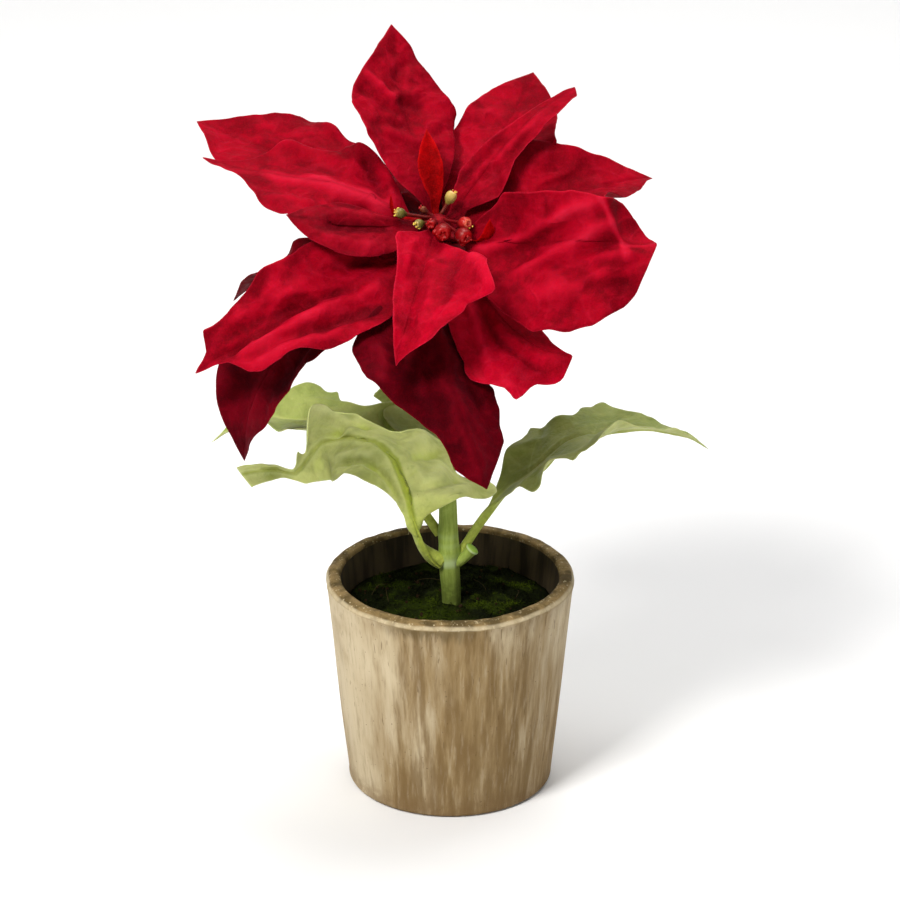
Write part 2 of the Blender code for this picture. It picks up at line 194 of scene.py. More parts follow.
class Gather:
    """Collects several closed shells into one piece."""

    def __init__(self):
        self.points, self.quads, self.tris, self.marks, self.count = [], [], [], [], 0

    def add(self, points, quads, tris, mark=0.0):
        self.points.append(points)
        self.quads.append(np.asarray(quads).reshape(-1, 4) + self.count)
        self.tris.append(np.asarray(tris).reshape(-1, 3) + self.count)
        self.marks.append(np.broadcast_to(np.asarray(mark, float), len(points)))
        self.count += len(points)

    def build(self, name, **more):
        return mesh_object(
            name,
            np.concatenate(self.points),
            np.concatenate(self.quads),
            np.concatenate(self.tris),
            attributes={"tone": np.concatenate(self.marks)},
            **more,
        )


# --------------------------------------------------------------------------- node materials


class Nodes:
    """A short way to write a material's nodes."""

    def __init__(self, name):
        self.mat = bpy.data.materials.new(name)
        self.mat.use_nodes = True
        self.tree = self.mat.node_tree
        self.shader = self.tree.nodes["Principled BSDF"]

    def new(self, kind, **inputs):
        node = self.tree.nodes.new(kind)
        for key, value in inputs.items():
            if hasattr(node, key):
                setattr(node, key, value)
        return node

    def link(self, a, b):
        self.tree.links.new(a, b)

    def put(self, socket, value):
        if isinstance(value, bpy.types.NodeSocket):
            self.link(value, socket)
        else:
            socket.default_value = value

    def attribute(self, name):
        node = self.new("ShaderNodeAttribute")
        node.attribute_name = name
        return node.outputs["Fac"]

    def where(self, scale=(1, 1, 1)):
        """Object coordinates in millimetres times scale."""
        coord = self.new("ShaderNodeTexCoord")
        mapping = self.new("ShaderNodeMapping")
        self.link(coord.outputs["Object"], mapping.inputs["Vector"])
        mapping.inputs["Scale"].default_value = [1000 * s for s in scale]
        return mapping.outputs["Vector"]

    def axis(self, vector, name):
        node = self.new("ShaderNodeSeparateXYZ")
        self.link(vector, node.inputs[0])
        return node.outputs[name]

    def noise(self, vector, scale, detail=3.0, rough=0.55, distortion=0.0):
        node = self.new("ShaderNodeTexNoise")
        self.link(vector, node.inputs["Vector"])
        node.inputs["Scale"].default_value = scale
        node.inputs["Detail"].default_value = detail
        node.inputs["Roughness"].default_value = rough
        node.inputs["Distortion"].default_value = distortion
        return node.outputs["Fac"]

    def cells(self, vector, scale, feature="DISTANCE_TO_EDGE"):
        node = self.new("ShaderNodeTexVoronoi")
        node.feature = feature
        self.link(vector, node.inputs["Vector"])
        node.inputs["Scale"].default_value = scale
        return node.outputs["Distance"]

    def ramp(self, value, low, high, out_low=0.0, out_high=1.0, smoothly=True):
        node = self.new("ShaderNodeMapRange")
        node.interpolation_type = "SMOOTHSTEP" if smoothly else "LINEAR"
        self.put(node.inputs["Value"], value)
        node.inputs["From Min"].default_value = low
        node.inputs["From Max"].default_value = high
        node.inputs["To Min"].default_value = out_low
        node.inputs["To Max"].default_value = out_high
        return node.outputs["Result"]

    def math(self, op, a, b=0.0, c=None):
        node = self.new("ShaderNodeMath")
        node.operation = op
        self.put(node.inputs[0], a)
        self.put(node.inputs[1], b)
        if c is not None:
            self.put(node.inputs[2], c)
        return node.outputs[0]

    def mix(self, fac, a, b, blend="MIX"):
        node = self.new("ShaderNodeMix")
        node.data_type = "RGBA"
        node.blend_type = blend
        self.put(node.inputs["Factor"], fac)
        for socket, value in ((node.inputs[6], a), (node.inputs[7], b)):
            if isinstance(value, bpy.types.NodeSocket):
                self.link(value, socket)
            else:
                socket.default_value = (*value, 1)
        return node.outputs[2]

    def bump(self, height, strength, distance_mm, normal=None):
        node = self.new("ShaderNodeBump")
        node.inputs["Strength"].default_value = strength
        node.inputs["Distance"].default_value = distance_mm * MM
        self.link(height, node.inputs["Height"])
        if normal is not None:
            self.link(normal, node.inputs["Normal"])
        return node.outputs["Normal"]

    def set(self, **values):
        for key, value in values.items():
            socket = self.shader.inputs[key.replace("_", " ")]
            if isinstance(value, bpy.types.NodeSocket):
                self.link(value, socket)
            elif isinstance(value, tuple) and len(value) == 3 and socket.type == "RGBA":
                socket.default_value = (*value, 1)
            else:
                socket.default_value = value
        return self.mat


def linear(r, g, b):
    """sRGB of 0 to 255 as linear light."""
    return tuple(c / 12.92 if c <= 0.04045 else ((c + 0.055) / 1.055) ** 2.4 for c in (r / 255, g / 255, b / 255))


def bract_material(name, main, deep, bright, edge, glow=0.10, throat_shade=0.28):
    """Velvety cloth: mottled crimson with a paler worn edge and a fine nap; painted highlights lighten the crests and
    painted shade darkens the hollows.
    """
    n = Nodes(name)
    p = n.where()
    vein, rib, rim, along, face, crest = (n.attribute(k) for k in ("vein", "rib", "rim", "along", "face", "crest"))
    broad = n.noise(p, 0.075, 3, 0.6, 0.6)
    mottle = n.noise(p, 0.30, 4, 0.62)
    fine = n.noise(p, 2.2, 3, 0.6)
    # thin pinched lines, like those left in cloth that has been folded away
    pinch_a = n.ramp(n.math("ABSOLUTE", n.math("SUBTRACT", n.noise(p, 0.12, 1, 0.4, 0.25), 0.5)), 0.0, 0.075, 1.0, 0.0)
    pinch_b = n.ramp(n.math("ABSOLUTE", n.math("SUBTRACT", n.noise(p, 0.24, 1, 0.4, 0.2), 0.5)), 0.0, 0.10, 1.0, 0.0)
    pinch = n.math("MULTIPLY", n.math("ADD", n.math("MULTIPLY", pinch_a, 0.8), n.math("MULTIPLY", pinch_b, 0.45)), n.ramp(broad, 0.38, 0.60, 0.25, 1.0))
    colour = n.mix(n.ramp(broad, 0.36, 0.62), deep, main)
    colour = n.mix(n.math("MULTIPLY", n.ramp(mottle, 0.45, 0.78), 0.36), colour, bright)
    colour = n.mix(n.math("MULTIPLY", n.ramp(mottle, 0.20, 0.46, 1.0, 0.0), 0.36), colour, deep)
    # painted shade in the hollows and painted highlights on the crests, read from the relief's height (the crest
    # attribute)
    colour = n.mix(n.math("MULTIPLY", n.ramp(crest, -1.4, 0.0, 1.0, 0.0), 0.85), colour, tuple(0.5 * c for c in deep))
    colour = n.mix(n.math("MULTIPLY", n.ramp(crest, 0.15, 1.4), 0.75), colour, bright)
    colour = n.mix(n.math("MULTIPLY", n.ramp(crest, 1.1, 2.2), 0.55), colour, edge)
    colour = n.mix(n.math("MULTIPLY", pinch, 0.13), colour, edge)
    colour = n.mix(n.math("MULTIPLY", n.ramp(vein, 0.0, 1.0, 1.0, 0.0), 0.16), colour, tuple(0.55 * c for c in deep))
    colour = n.mix(n.math("MULTIPLY", n.ramp(rib, 0.0, 1.3, 1.0, 0.0), 0.20), colour, tuple(0.55 * c for c in deep))
    # worn, paler edge
    worn = n.math("MULTIPLY", n.ramp(rim, 0.0, 0.6, 1.0, 0.0), n.ramp(fine, 0.3, 0.7, 0.3, 0.95))
    colour = n.mix(n.math("MULTIPLY", worn, 0.50), colour, edge)
    # painted shade: darker towards the stalk end, where the bracts crowd together in the throat
    colour = n.mix(n.ramp(along, 0.02, throat_shade, 0.85, 0.0), colour, tuple(0.4 * c for c in deep))
    # underside a little duller
    colour = n.mix(n.math("MULTIPLY", n.ramp(face, 0.2, 0.8, 1.0, 0.0), 0.35), colour, deep)
    colour = n.mix(n.math("MULTIPLY", n.ramp(fine, 0.35, 0.75), 0.16), colour, tuple(min(1, 1.3 * c) for c in bright))
    weave = n.noise(p, 6.0, 2, 0.5)
    height = n.math("ADD", n.math("MULTIPLY", mottle, 0.9), n.math("MULTIPLY", weave, 0.14))
    height = n.math("ADD", height, n.math("MULTIPLY", pinch, 0.50))
    normal = n.bump(height, 0.6, 0.5)
    return n.set(
        Base_Color=colour,
        Roughness=n.ramp(mottle, 0.3, 0.7, 0.60, 0.80),
        Normal=normal,
        Specular_IOR_Level=0.05,
        Specular_Tint=(1.0, 0.35, 0.4, 1.0),
        Sheen_Weight=0.05,
        Sheen_Roughness=0.5,
        Sheen_Tint=(1.0, 0.06, 0.14, 1.0),
        Subsurface_Weight=glow,
        Subsurface_Radius=(1.0, 0.05, 0.05),
        Subsurface_Scale=0.0010,
    )


def leaf_material(name, upper, upper_dark, under, under_dark, vein_under, vein_upper):
    """A green leaf, pale and matt underneath, darker on top, with veins and a fine grain."""
    n = Nodes(name)
    p = n.where()
    vein, rib, rim, along, face, crest = (n.attribute(k) for k in ("vein", "rib", "rim", "along", "face", "crest"))
    broad = n.noise(p, 0.10, 3, 0.6, 0.5)
    mottle = n.noise(p, 0.55, 4, 0.62)
    fine = n.noise(p, 3.0, 3, 0.6)
    top = n.mix(n.ramp(broad, 0.35, 0.65), upper_dark, upper)
    top = n.mix(n.math("MULTIPLY", n.ramp(vein, 0.0, 0.9, 1.0, 0.0), 0.75), top, vein_upper)
    low = n.mix(n.ramp(broad, 0.36, 0.62), under_dark, under)
    # painted shade and highlight: hollows of the relief take the darker vein colour, crests a pale tint
    low = n.mix(n.math("MULTIPLY", n.ramp(crest, -1.3, 0.0, 1.0, 0.0), 0.65), low, vein_under)
    low = n.mix(n.math("MULTIPLY", n.ramp(crest, 0.1, 1.4), 0.6), low, linear(202, 206, 136))
    low = n.mix(n.math("MULTIPLY", n.ramp(vein, 0.05, 1.1, 1.0, 0.0), 0.35), low, vein_under)
    ribbed = n.math("MULTIPLY", n.ramp(rib, 0.5, 1.9, 1.0, 0.0), n.ramp(along, 0.35, 0.70, 0.95, 0.25))
    low = n.mix(ribbed, low, vein_under)
    low = n.mix(n.math("MULTIPLY", n.math("MULTIPLY", n.ramp(rib, 1.4, 3.4, 1.0, 0.0), n.ramp(rib, 0.9, 1.6)), 0.35), low, linear(196, 202, 126))
    colour = n.mix(n.ramp(face, 0.3, 0.7), low, top)
    colour = n.mix(n.math("MULTIPLY", n.ramp(mottle, 0.5, 0.8), 0.28), colour, linear(200, 206, 126))
    colour = n.mix(n.math("MULTIPLY", n.ramp(mottle, 0.25, 0.45, 1.0, 0.0), 0.35), colour, linear(110, 128, 52))
    # edges dry to a paler tone with a few brown specks
    worn = n.math("MULTIPLY", n.ramp(rim, 0.0, 0.8, 1.0, 0.0), n.ramp(fine, 0.35, 0.7, 0.2, 0.9))
    colour = n.mix(n.math("MULTIPLY", worn, 0.5), colour, linear(222, 226, 160))
    specks = n.ramp(n.noise(p, 1.1, 2, 0.5), 0.70, 0.76)
    colour = n.mix(n.math("MULTIPLY", specks, 0.45), colour, linear(120, 105, 50))
    # stalk end greener and brighter
    colour = n.mix(n.ramp(along, 0.12, 0.30, 0.85, 0.0), colour, n.mix(n.ramp(mottle, 0.3, 0.7), linear(146, 160, 44), linear(182, 194, 74)))
    weave = n.noise(p, 6.0, 2, 0.5)
    net = n.cells(p, 0.55)
    height = n.math("ADD", n.math("MULTIPLY", mottle, 0.5), n.math("MULTIPLY", weave, 0.2))
    height = n.math("ADD", height, n.math("MULTIPLY", n.ramp(net, 0.0, 0.3), 0.25))
    normal = n.bump(height, 0.5, 0.35)
    return n.set(
        Base_Color=colour,
        Roughness=n.ramp(mottle, 0.3, 0.7, 0.50, 0.72),
        Normal=normal,
        Specular_IOR_Level=0.32,
        Sheen_Weight=0.12,
        Sheen_Roughness=0.5,
        Subsurface_Weight=0.12,
        Subsurface_Radius=(0.5, 1.0, 0.15),
        Subsurface_Scale=0.001,
    )


# --------------------------------------------------------------------------- blades (bracts and leaves)

BRACT_AT = [0, 0.07, 0.2, 0.34, 0.48, 0.62, 0.76, 0.89, 1]
LEAF_AT = [0, 0.18, 0.25, 0.33, 0.41, 0.5, 0.59, 0.68, 0.76, 0.84, 0.92, 1]

# name: azimuth, rise, roll, length, (distance out, height against HEAD), half-widths left and right, fold, curl
BRACTS = {
    "bract_front_folded": ([-97, -111], [-8, -23, -60], [-13, 8], 56.5, (3.2, 1.5), [1.0, 4.5, 16.0, 23.0, 22.5, 18.5, 6.5], [2.0, 7.0, 10.0, 6.5, 5.5, 2.5, 1.5], [12, 15], [13, 17]),
    "bract_inner_upright": ([101, 102], [70, 58, 45], [-1, 0], 26.0, (3.2, 2.5), [1.2, 1.8, 3.0, 3.8, 3.9, 3.1, 1.9], [0.9, 1.8, 2.7, 3.1, 3.2, 2.6, 1.4], [8, 9], [10, 11]),
    "bract_left_small": ([200, 187], [9, 9, 10], [-16, -17], 42.0, (3.2, 1.0), [2.0, 7.5, 12.0, 13.0, 13.0, 11.0, 6.5], [1.5, 4.0, 6.0, 8.0, 9.0, 8.0, 5.0], [-12, -3], [-7, 1]),
    "bract_right_narrow": ([43, 36], [41, 34, 19], [20, 12], 58.5, (3.3, 0.8), [1.5, 5.0, 7.5, 6.5, 5.0, 4.5, 1.0], [2.0, 6.5, 9.0, 7.5, 5.0, 5.0, 5.0], [6, 3], [7, 5]),
    "bract_back_tall": ([109, 101], [62, 36, 53], [1, 14], 68.5, (4.0, -1.5), [1.5, 7.5, 13.0, 17.5, 17.5, 13.0, 6.0], [2.0, 7.0, 11.5, 15.0, 17.0, 11.5, 6.5], [3, -7], [6, -3]),
    "bract_left_folded": ([164, 168], [35, 9, 17], [-35, 8], 71.0, (3.8, -2.0), [2.0, 8.5, 15.0, 19.5, 18.5, 16.0, 11.0], [1.0, 9.0, 18.0, 20.0, 17.5, 13.0, 2.5], [-1, 6], [4, 6]),
    "bract_right_broad": ([-43, -6], [3, 10, -3], [42, 52], 67.0, (3.8, -2.0), [2.0, 9.0, 15.5, 17.0, 17.0, 15.0, 11.0], [1.0, 9.0, 20.5, 26.5, 27.0, 25.5, 19.0], [19, -1], [19, 1]),
    "bract_left_broad": ([-135, -180], [-10, -20, -38], [-29, -18], 80.5, (3.9, -3.8), [1.0, 9.0, 17.5, 18.5, 17.0, 15.5, 4.5], [2.0, 9.0, 16.0, 18.0, 16.5, 13.0, 9.5], [-1, 12], [2, 13]),
    "bract_front_right": ([-65, -19], [-3, -34, 1], [-12, 25], 55.0, (3.9, -5.2), [2.0, 6.0, 10.0, 12.0, 10.5, 6.0, 1.0], [2.0, 7.0, 12.0, 15.5, 18.0, 19.5, 14.0], [0, -12], [3, -6]),
    "bract_right_back": ([17, 19], [37, 10, -2], [18, 2], 64.5, (4.0, -5.5), [2.0, 8.5, 15.0, 19.5, 17.5, 11.5, 7.0], [2.0, 8.5, 14.5, 18.5, 19.5, 16.5, 9.5], [21, 8], [17, 10]),
    "bract_back_right": ([59, 69], [37, 30, 23], [0, 2], 70.0, (4.0, -6.5), [2.0, 7.5, 12.5, 15.0, 14.5, 12.0, 8.5], [2.0, 7.5, 12.5, 16.0, 17.0, 14.5, 8.5], [3, 1], [6, 3]),
    "bract_left_back": ([149, 148], [28, 16, 7], [-2, -9], 84.0, (4.0, -6.0), [2.0, 8.5, 14.5, 18.5, 19.5, 16.5, 9.5], [2.0, 8.0, 14.0, 17.5, 19.0, 16.5, 8.0], [0, 8], [4, 10]),
    "bract_front_low": ([-101, -45], [-16, -37, -61], [-12, 6], 80.5, (4.0, -8.5), [2.0, 7.5, 12.0, 14.0, 14.0, 14.0, 10.0], [1.0, 9.0, 21.0, 26.5, 23.0, 9.0, 5.5], [-10, -6], [-4, -2]),
    "bract_left_low": ([-153, -153], [-8, -38, -84], [-10, -4], 84.5, (4.0, -9.5), [2.0, 7.5, 12.5, 16.0, 16.5, 13.0, 9.0], [2.0, 8.5, 14.5, 18.5, 20.0, 17.5, 10.0], [7, 17], [9, 17]),
    "bract_back_low": ([112, 116], [22, 6, -24], [0, 6], 68.0, (4.0, -9.5), [2.0, 7.5, 14.5, 17.0, 18.5, 14.5, 7.5], [2.0, 8.0, 13.0, 18.5, 17.0, 14.5, 8.0], [8, 6], [10, 8]),
    "bract_back_right_low": ([60, 52], [10, -14, -38], [0, -6], 66.0, (4.0, -11.0), [2.0, 8.0, 12.5, 17.5, 16.5, 14.5, 8.0], [2.0, 7.5, 14.5, 16.5, 18.0, 14.0, 7.0], [8, 8], [10, 12]),
    "bract_back_left_low": ([155, 160], [7, -18, -44], [-1, 4], 68.0, (4.0, -11.5), [2.0, 8.0, 13.0, 17.0, 17.0, 14.5, 8.0], [2.0, 7.5, 13.5, 18.0, 17.5, 15.0, 7.5], [7, 8], [9, 12]),
}
LEAVES = {
    "leaf_front": ([203, 228, 213, 210, 203], [37, 75, 45, -12, -34], [67, 52, 49, 87, 46], 96.5, (-3.9, -4.9, 74.5), [1.5, 13.0, 30.0, 18.0, 27.0, 12.5, 10.5, 15.0, 2.5, 5.5], [1.5, 2.5, 6.5, 11.0, 17.0, 14.0, 13.0, 12.0, 9.0, 2.0], [-20, -10], [-6, 0]),
    "leaf_right": ([18, 8, 12, 20], [58, 40, 5, -38], [6, 0, -8, -14], 92.0, (3.6, -2.2, 76.5), [1.4, 6.0, 14.0, 16.5, 14.0, 13.0, 17.5, 9.0, 6.5, 3.0], [1.4, 5.5, 13.0, 17.0, 15.0, 18.5, 12.0, 9.5, 6.0, 3.0], [10, 8], [12, 10]),
    "leaf_back": ([96, 102, 100, 92], [64, 38, 4, -34], [-4, 2, 8, 10], 90.0, (-0.6, 0.8, 80.0), [1.4, 5.5, 13.5, 16.0, 14.5, 18.0, 12.0, 9.5, 6.5, 3.0], [1.4, 6.0, 13.5, 17.0, 13.5, 13.0, 16.5, 9.0, 6.0, 3.0], [9, 9], [10, 12]),
    "leaf_left": ([158, 150, 156, 166], [52, 32, -4, -40], [10, 4, -4, -10], 88.0, (-4.0, -1.6, 83.0), [1.4, 6.0, 13.0, 16.5, 14.0, 17.5, 12.0, 9.5, 6.0, 3.0], [1.4, 5.0, 12.5, 16.0, 13.5, 12.5, 16.0, 9.0, 6.0, 3.0], [8, 10], [12, 10]),
}
# Outlines known closely: (where along, distance in mm from the axis), left then right. Less than 0 is past the axis.
OUTLINES = {
    "bract_left_broad": (
        [(0.48, 18.1), (0.643, 15.4), (0.716, 16.1), (0.79, 15.0), (0.832, 12.6), (0.862, 7.6), (0.885, 4.2), (0.938, 2.2), (1.0, 0.9), (1.015, 0.1)],
        [(0.42, 18.0), (0.53, 16.5), (0.63, 16.3), (0.733, 13.8), (0.811, 10.6), (0.87, 9.6), (0.915, 10.0), (0.93, 8.2), (0.942, 3.6), (0.975, 2.0), (1.0, 1.2), (1.015, 0.1)],
    ),
    "bract_back_tall": (
        [(0.403, 15.9), (0.477, 16.9), (0.596, 18.0), (0.702, 15.5), (0.795, 11.7), (0.887, 7.3), (0.96, 3.0), (1.0, 1.2), (1.02, 0.1)],
        [(0.42, 13.1), (0.519, 15.3), (0.6, 17.3), (0.625, 16.6), (0.676, 13.9), (0.753, 11.4), (0.831, 9.0), (0.925, 5.7), (0.981, 2.5), (1.02, 0.1)],
    ),
    "bract_right_broad": (
        [(0.251, 14.4), (0.417, 15.3), (0.644, 15.1), (0.777, 13.2), (0.87, 12.4), (0.94, 8.8), (0.98, 4.6), (1.0, 2.0), (1.01, 0.1)],
        [(0.272, 16.0), (0.388, 22.2), (0.51, 26.7), (0.661, 27.3), (0.76, 25.6), (0.798, 24.3), (0.887, 18.8), (0.937, 14.8), (0.975, 8.0), (0.991, 4.2), (1.01, 0.1)],
    ),
    "bract_front_right": (
        [(0.62, 10.5), (0.76, 6.4), (0.80, 5.4), (0.886, 3.0), (0.96, 1.6), (1.01, 0.8), (1.02, 0.1)],
        [(0.62, 19.8), (0.70, 21.4), (0.769, 20.0), (0.82, 18.4), (0.85, 18.8), (0.874, 19.8), (0.884, 17.5), (0.893, 13.0), (0.908, 11.2), (0.94, 10.4), (0.975, 9.4), (1.0, 7.6), (1.012, 4.0), (1.02, 0.1)],
    ),
    "bract_front_low": (
        [(0.375, 11.8), (0.5, 13.6), (0.629, 14.4), (0.76, 13.8), (0.857, 12.1), (0.919, 7.6), (0.96, 4.0), (0.99, 1.6), (1.005, 0.1)],
        [(0.383, 24.4), (0.533, 22.7), (0.62, 17.5), (0.70, 12.0), (0.769, 8.6), (0.85, 7.6), (0.906, 7.2), (0.95, 4.6), (0.985, 1.6), (1.005, 0.1)],
    ),
    "bract_front_folded": (
        [(0.27, 9.6), (0.347, 16.7), (0.42, 20.5), (0.504, 23.1), (0.58, 25.5), (0.620, 26.0), (0.632, 23.6), (0.642, 19.0), (0.66, 17.2), (0.703, 17.0), (0.80, 14.2), (0.874, 11.0), (0.95, 4.6), (0.99, 1.2), (1.01, 0.1)],
        [(0.123, 3.1), (0.19, 7.8), (0.245, 10.8), (0.29, 10.9), (0.35, 9.8), (0.442, 8.4), (0.55, 6.8), (0.671, 5.3), (0.8, 3.6), (0.9, 2.2), (0.98, 0.7), (1.01, 0.1)],
    ),
    "bract_left_folded": (
        [(0.458, 19.3), (0.573, 18.7), (0.688, 15.2), (0.76, 10.2), (0.80, 7.6), (0.87, 4.6), (0.94, 2.0), (0.985, 0.8), (1.0, 0.1)],
        [(0.384, 21.0), (0.463, 19.1), (0.582, 17.3), (0.68, 16.4), (0.73, 15.0), (0.78, 10.5), (0.82, 7.0), (0.88, 4.0), (0.94, 1.8), (0.985, 0.7), (1.0, 0.1)],
    ),
    "bract_right_narrow": (
        [(0.177, 4.0), (0.268, 6.5), (0.403, 5.9), (0.585, 4.2), (0.712, 3.3), (0.80, 2.6), (0.864, 1.9), (0.95, 1.0), (1.01, 0.1)],
        [(0.137, 5.1), (0.25, 8.8), (0.354, 8.9), (0.45, 6.8), (0.562, 5.0), (0.66, 5.4), (0.73, 5.0), (0.80, 5.5), (0.9, 5.0), (0.968, 4.2), (1.0, 1.4), (1.01, 0.1)],
    ),
    "leaf_front": (
        [(0.13, 2.5), (0.18, 2.7), (0.206, 4.7), (0.25, 11.5), (0.276, 17.3), (0.288, 26.5), (0.31, 29.5), (0.359, 31.0), (0.381, 28.4), (0.397, 23.0), (0.42, 21.0), (0.442, 22.0), (0.503, 25.2), (0.54, 23.4), (0.556, 17.0), (0.572, 11.6), (0.595, 11.0), (0.618, 11.4), (0.663, 11.7), (0.70, 10.0), (0.711, 10.4), (0.734, 14.3), (0.766, 18.1), (0.776, 13.0), (0.786, 2.0), (0.80, -0.6), (0.815, 0.2), (0.826, 4.4), (0.834, 1.0), (0.845, -1.8), (0.861, -2.6), (0.898, 2.2), (0.93, 5.6), (0.965, 9.2), (1.0, 11.2), (1.03, 12.0)],
        [(0.13, 2.5), (0.18, 2.5), (0.22, 2.5), (0.282, 3.8), (0.33, 6.4), (0.373, 9.0), (0.415, 12.0), (0.46, 15.2), (0.5, 17.4), (0.54, 18.4), (0.6, 17.0), (0.66, 14.8), (0.737, 12.7), (0.8, 11.4), (0.852, 9.7), (0.875, 6.8), (0.904, 4.0), (0.947, 2.2), (1.0, 1.0), (1.03, 0.2)],
    ),
}
# Where the midrib leaves the axis, mm to the left.
DRIFT = {"leaf_front": [(0.0, 0.0), (0.74, 0.0), (0.79, -3.0), (0.83, -4.4), (0.861, -4.6), (0.885, -2.4), (0.905, -0.4), (0.95, 3.0), (1.03, 6.0)]}
# How far past its length each blade is drawn.
REACH = {"bract_left_broad": 1.015, "bract_back_tall": 1.02, "bract_right_broad": 1.01, "bract_front_right": 1.02, "bract_front_low": 1.005, "bract_front_folded": 1.01, "bract_left_folded": 1.0, "bract_right_narrow": 1.01, "leaf_front": 1.035}
# Teeth on the outline: side (+1 left, -1 right), where along, how far out (mm), half its length along.
TEETH = {
    "bract_right_back": [(1, 0.46, 2.0, 0.06), (-1, 0.66, 2.4, 0.13)],
    "bract_back_right": [(1, 0.52, 1.5, 0.07), (-1, 0.60, 2.0, 0.06)],
    "bract_left_back": [(1, 0.58, 2.0, 0.06), (-1, 0.45, 2.0, 0.06)],
    "bract_left_low": [(-1, 0.60, 2.0, 0.06), (1, 0.45, 1.5, 0.06)],
    "bract_back_low": [(1, 0.42, 2.5, 0.06), (-1, 0.52, 2.5, 0.06)],
    "bract_back_right_low": [(1, 0.40, 2.5, 0.06), (-1, 0.55, 2.5, 0.06)],
    "bract_back_left_low": [(1, 0.44, 2.5, 0.06), (-1, 0.38, 2.5, 0.06)],
    "leaf_right": [(1, 0.42, 3.5, 0.05), (-1, 0.50, 4.5, 0.04), (1, 0.60, 4.5, 0.04), (-1, 0.34, 3.0, 0.05)],
    "leaf_back": [(1, 0.50, 4.5, 0.04), (-1, 0.42, 3.5, 0.05), (-1, 0.60, 4.5, 0.04)],
    "leaf_left": [(1, 0.50, 4.5, 0.04), (-1, 0.42, 3.5, 0.05), (-1, 0.60, 4.0, 0.04)],
}
# Creases: from (along, share) to (along, share), height (mm), half-width (mm). Share is +1 at the left edge, -1 at the right.
CREASES = {
    "bract_right_broad": [
        (0.20, -0.42, 0.735, 0.78, 2.1, 2.6), (0.40, -0.46, 0.80, 0.42, 1.7, 2.2), (0.30, -0.20, 0.66, 0.46, -1.3, 1.8),
        (0.54, -0.30, 0.84, -0.02, -1.2, 2.0), (0.62, -0.22, 0.90, -0.22, 1.3, 1.9), (0.50, -0.62, 0.82, -0.44, 1.2, 3.0), (0.72, -0.52, 0.90, -0.62, -1.4, 2.4),
    ],
    "bract_left_broad": [
        (0.30, 0.36, 0.60, 0.14, 1.5, 2.6), (0.52, 0.30, 0.84, 0.36, 1.5, 2.4), (0.46, 0.72, 0.80, 0.80, 1.6, 2.6), (0.34, 0.70, 0.66, 0.46, -1.5, 2.4),
        (0.56, -0.18, 0.84, -0.44, -1.4, 2.4), (0.62, -0.62, 0.90, -0.52, 1.2, 2.6), (0.24, -0.30, 0.50, -0.62, -1.3, 3.0), (0.30, -0.70, 0.62, -0.42, 1.1, 2.6),
        (0.34, 0.16, 0.62, -0.06, -1.9, 2.6), (0.66, 0.02, 0.88, 0.06, -1.3, 2.0),
    ],
    "bract_back_tall": [
        (0.76, 0.86, 0.63, 0.20, 1.3, 1.8), (0.68, 0.84, 0.58, 0.34, -1.3, 2.2), (0.645, 0.10, 0.60, -0.30, -1.1, 2.0), (0.64, 0.30, 0.70, -0.50, 1.0, 1.7),
        (0.82, 0.40, 0.66, 0.08, 0.9, 1.7), (0.46, 0.55, 0.40, -0.45, 1.2, 2.2), (0.50, 0.20, 0.48, 0.80, -0.8, 1.8), (0.84, -0.4, 0.74, 0.1, -0.8, 1.6),
    ],
    "bract_left_folded": [
        (0.16, 0.02, 0.74, 0.06, 2.6, 3.6), (0.40, 0.90, 0.26, 0.30, -1.8, 1.9), (0.22, -0.25, 0.36, -0.85, -1.2, 2.0), (0.17, -0.45, 0.28, -0.95, 0.9, 1.6),
        (0.44, -0.35, 0.62, -0.62, -1.0, 2.6), (0.50, 0.50, 0.66, 0.74, 1.0, 2.4),
    ],
    "bract_left_small": [(0.28, 0.22, 0.74, 0.20, -1.9, 2.6), (0.40, 0.80, 0.74, 0.72, 1.2, 2.4), (0.26, -0.30, 0.66, -0.46, 1.3, 2.4)],
    "bract_right_narrow": [(0.20, 0.05, 0.80, -0.15, 0.9, 1.8), (0.30, -0.62, 0.60, -0.60, -0.8, 1.8), (0.24, 0.55, 0.52, 0.50, -0.7, 1.6)],
    "bract_front_folded": [(0.34, 0.86, 0.60, 0.92, 1.6, 2.4), (0.34, 0.52, 0.66, 0.62, -1.5, 2.4), (0.20, -0.50, 0.46, -0.50, 0.9, 1.8), (0.44, 0.22, 0.80, 0.36, 0.9, 2.0), (0.16, 0.2, 0.36, 0.30, -0.9, 2.0)],
    "bract_front_low": [(0.30, 0.04, 0.90, 0.06, 1.2, 2.6), (0.36, -0.40, 0.62, -0.62, -1.4, 2.6), (0.44, 0.50, 0.74, 0.60, -1.0, 2.2), (0.42, -0.72, 0.56, -0.86, 1.2, 2.6)],
    "bract_front_right": [(0.40, -0.40, 0.86, -0.86, 1.4, 2.0), (0.46, -0.12, 0.96, -0.30, 1.1, 1.8), (0.44, -0.62, 0.78, -0.80, -0.9, 1.8), (0.5, -0.26, 0.92, -0.58, -0.9, 1.5)],
    "bract_left_low": [(0.22, 0.02, 0.84, 0.04, 1.2, 2.6), (0.34, 0.46, 0.62, 0.60, -1.2, 2.4), (0.40, -0.46, 0.66, -0.60, -1.0, 2.4)],
    "leaf_front": [
        (0.26, -0.55, 0.60, -0.66, -1.3, 1.1), (0.30, 0.22, 0.36, 0.62, -1.0, 1.4), (0.42, 0.12, 0.48, 0.74, -1.0, 1.3), (0.34, 0.30, 0.44, 0.74, 1.3, 2.8),
        (0.50, 0.34, 0.53, 0.90, 1.4, 2.2), (0.64, 0.30, 0.76, 0.90, 1.6, 1.8), (0.62, 0.74, 0.70, 0.20, -1.2, 1.4), (0.50, -0.40, 0.72, -0.50, 1.1, 2.2), (0.28, 0.55, 0.37, 0.95, 1.3, 2.0),
        (0.90, 0.6, 1.0, 0.7, 0.9, 1.4),
    ],
}
